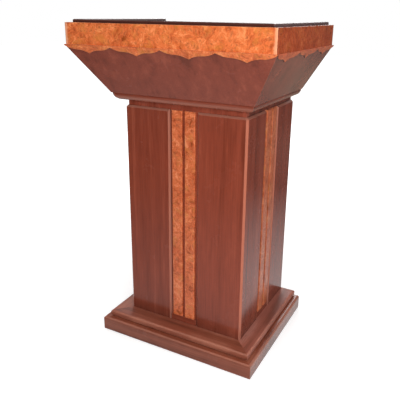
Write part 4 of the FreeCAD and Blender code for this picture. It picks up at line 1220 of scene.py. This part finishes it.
@dataclass
class Studio:
    """Pale floor, soft lamps and the camera.

    Angles are in radians, the lens and its sensor in millimetres and the fades in metres. The
    card is a warm patch of floor that only reflections show.
    """

    camera_at: Point = (0.83414, -1.56511, 1.17337)
    turn: float = 0.4805
    tilt: float = -0.3132
    roll: float = 0.0142
    lens: float = 45.855
    sensor: float = 36.0
    shift: Range = (-0.0224, -0.0548)
    sky: float = 0.26
    mirrored_sky: float = 0.08
    mirrored_top: float = 0.60
    horizon: Range = (0.05, 0.60)
    floor_reach: float = 14.0
    paper: Figure = Figure(90.0, 3.0, 0.6)
    paper_tones: Stops = ((0.3, (0.68, 0.68, 0.68)), (0.7, (0.74, 0.74, 0.74)))
    glow: Span = (0.5, 2.2, 0.50, 1.0)
    mirrored_near: float = 0.80
    mirrored_fade: Range = (0.45, 1.9)
    card_at: Point = (-0.3, 3.2, 0.0)
    card: float = 0.26
    card_fade: Range = (0.6, 1.9)
    card_tint: Colour = (1.0, 0.86, 0.68)
    aim: Point = (0.0, 0.0, 0.6)
    lamps: Sequence[Tuple[str, Point, float, float]] = (
        ("key", (1.12, -1.78, 1.40), 1.4, 39.5),
        ("right", (3.2, -0.9, 1.3), 1.8, 24.0),
        ("side", (-3.0, 0.6, 1.8), 2.0, 18.0),
        ("back", (-1.2, 3.2, 2.6), 2.0, 55.0),
        ("top", (0.0, -0.3, 3.6), 1.6, 26.0),
    )

    def build(self) -> None:
        """Set the whole studio up."""
        self.add_world()
        self.add_floor()
        for name, place, size, power in self.lamps:
            self.add_lamp(name, place, size, power)
        self.add_camera()
        bpy.context.scene.view_settings.view_transform = "Standard"

    def add_world(self) -> None:
        """White to the camera, dim in the lacquer and metal, and a plain grey as a light."""
        g = Graph("studio_world", world=True)
        bpy.context.scene.world = g.owner
        rise = g.split(g.coords["Generated"])[2]
        dome = g.span(rise, *self.horizon, self.mirrored_sky, self.mirrored_top)
        lit, mirrored, shown = (
            g.add("Background", {0: WHITE, 1: strength}).outputs[0]
            for strength in (self.sky, dome, 1.0)
        )
        g.close(g.by_ray(lit, mirrored, shown))

    def add_floor(self) -> None:
        """A wide pale floor that keeps the shadow."""
        bm = bmesh.new()
        reach = self.floor_reach
        corners = [bm.verts.new((x, y, 0.0)) for x, y in
                   ((-reach, -reach), (reach, -reach), (reach, reach), (-reach, reach))]
        bm.faces.new(corners)
        mesh = bpy.data.meshes.new("floor")
        bm.to_mesh(mesh)
        bm.free()
        floor = bpy.data.objects.new("floor", mesh)
        bpy.context.scene.collection.objects.link(floor)
        mesh.materials.append(self.floor_material())

    def floor_material(self) -> bpy.types.Material:
        """White to the camera, paler near the lectern in reflections, matt to all other light.

        Returns:
            The floor's material.
        """
        g = Graph("pale_floor")
        away = g.vector("LENGTH", g.place)
        white = g.ramp(g.noise(g.place, self.paper), self.paper_tones)
        matt = g.add("BsdfDiffuse", {"Color": white}).outputs[0]
        lift = g.add("Emission", {"Strength": g.span(away, *self.glow)}).outputs[0]
        shown = g.add("AddShader", {0: matt, 1: lift}).outputs[0]
        aside = g.vector("DISTANCE", g.place, self.card_at)
        warm = g.mix(g.span(aside, *self.card_fade, 1.0, 0.0), WHITE, self.card_tint)
        strength = g.calc(
            "ADD",
            g.span(away, *self.mirrored_fade, self.mirrored_near, self.mirrored_sky),
            g.span(aside, *self.card_fade, self.card, 0.0),
        )
        mirrored = g.add("Emission", {"Color": warm, "Strength": strength}).outputs[0]
        return g.close(g.by_ray(matt, mirrored, shown))

    def add_lamp(self, name: str, place: Point, size: float, power: float) -> None:
        """A square soft lamp that faces the lectern.

        Args:
            name: The lamp's name.
            place: Where it stands.
            size: Length of its side, in metres.
            power: Its power, in watts.
        """
        light = bpy.data.lights.new(name, "AREA")
        light.shape = "SQUARE"
        light.size = size
        light.energy = power
        lamp = bpy.data.objects.new(name, light)
        bpy.context.scene.collection.objects.link(lamp)
        lamp.location = place
        toward = Vector(self.aim) - Vector(place)
        lamp.rotation_euler = toward.to_track_quat("-Z", "Y").to_euler()

    def add_camera(self) -> None:
        """The camera at its stand."""
        data = bpy.data.cameras.new("camera")
        data.sensor_width = self.sensor
        data.lens = self.lens
        data.shift_x, data.shift_y = self.shift
        camera = bpy.data.objects.new("camera", data)
        bpy.context.scene.collection.objects.link(camera)
        ahead = Vector((
            -math.sin(self.turn) * math.cos(self.tilt),
            math.cos(self.turn) * math.cos(self.tilt),
            math.sin(self.tilt),
        ))
        level = Vector((math.cos(self.turn), math.sin(self.turn), 0.0))
        upright = level.cross(ahead)
        right = math.cos(self.roll) * level + math.sin(self.roll) * upright
        up = -math.sin(self.roll) * level + math.cos(self.roll) * upright
        turned = Matrix((right, up, -ahead)).transposed()
        camera.matrix_world = Matrix.Translation(self.camera_at) @ turned.to_4x4()
        bpy.context.scene.camera = camera


def main() -> None:
    """Build the studio and every sub-assembly."""
    logging.basicConfig(level=logging.INFO, format="%(name)s: %(message)s")
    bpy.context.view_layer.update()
    shop = Shop()
    for part in (Plinth(shop), Column(shop), Cupboard(shop), Head(shop)):
        part.build()
        LOG.info("built %s", type(part).__name__)
    Studio().build()


if __name__ == "__main__":
    main()
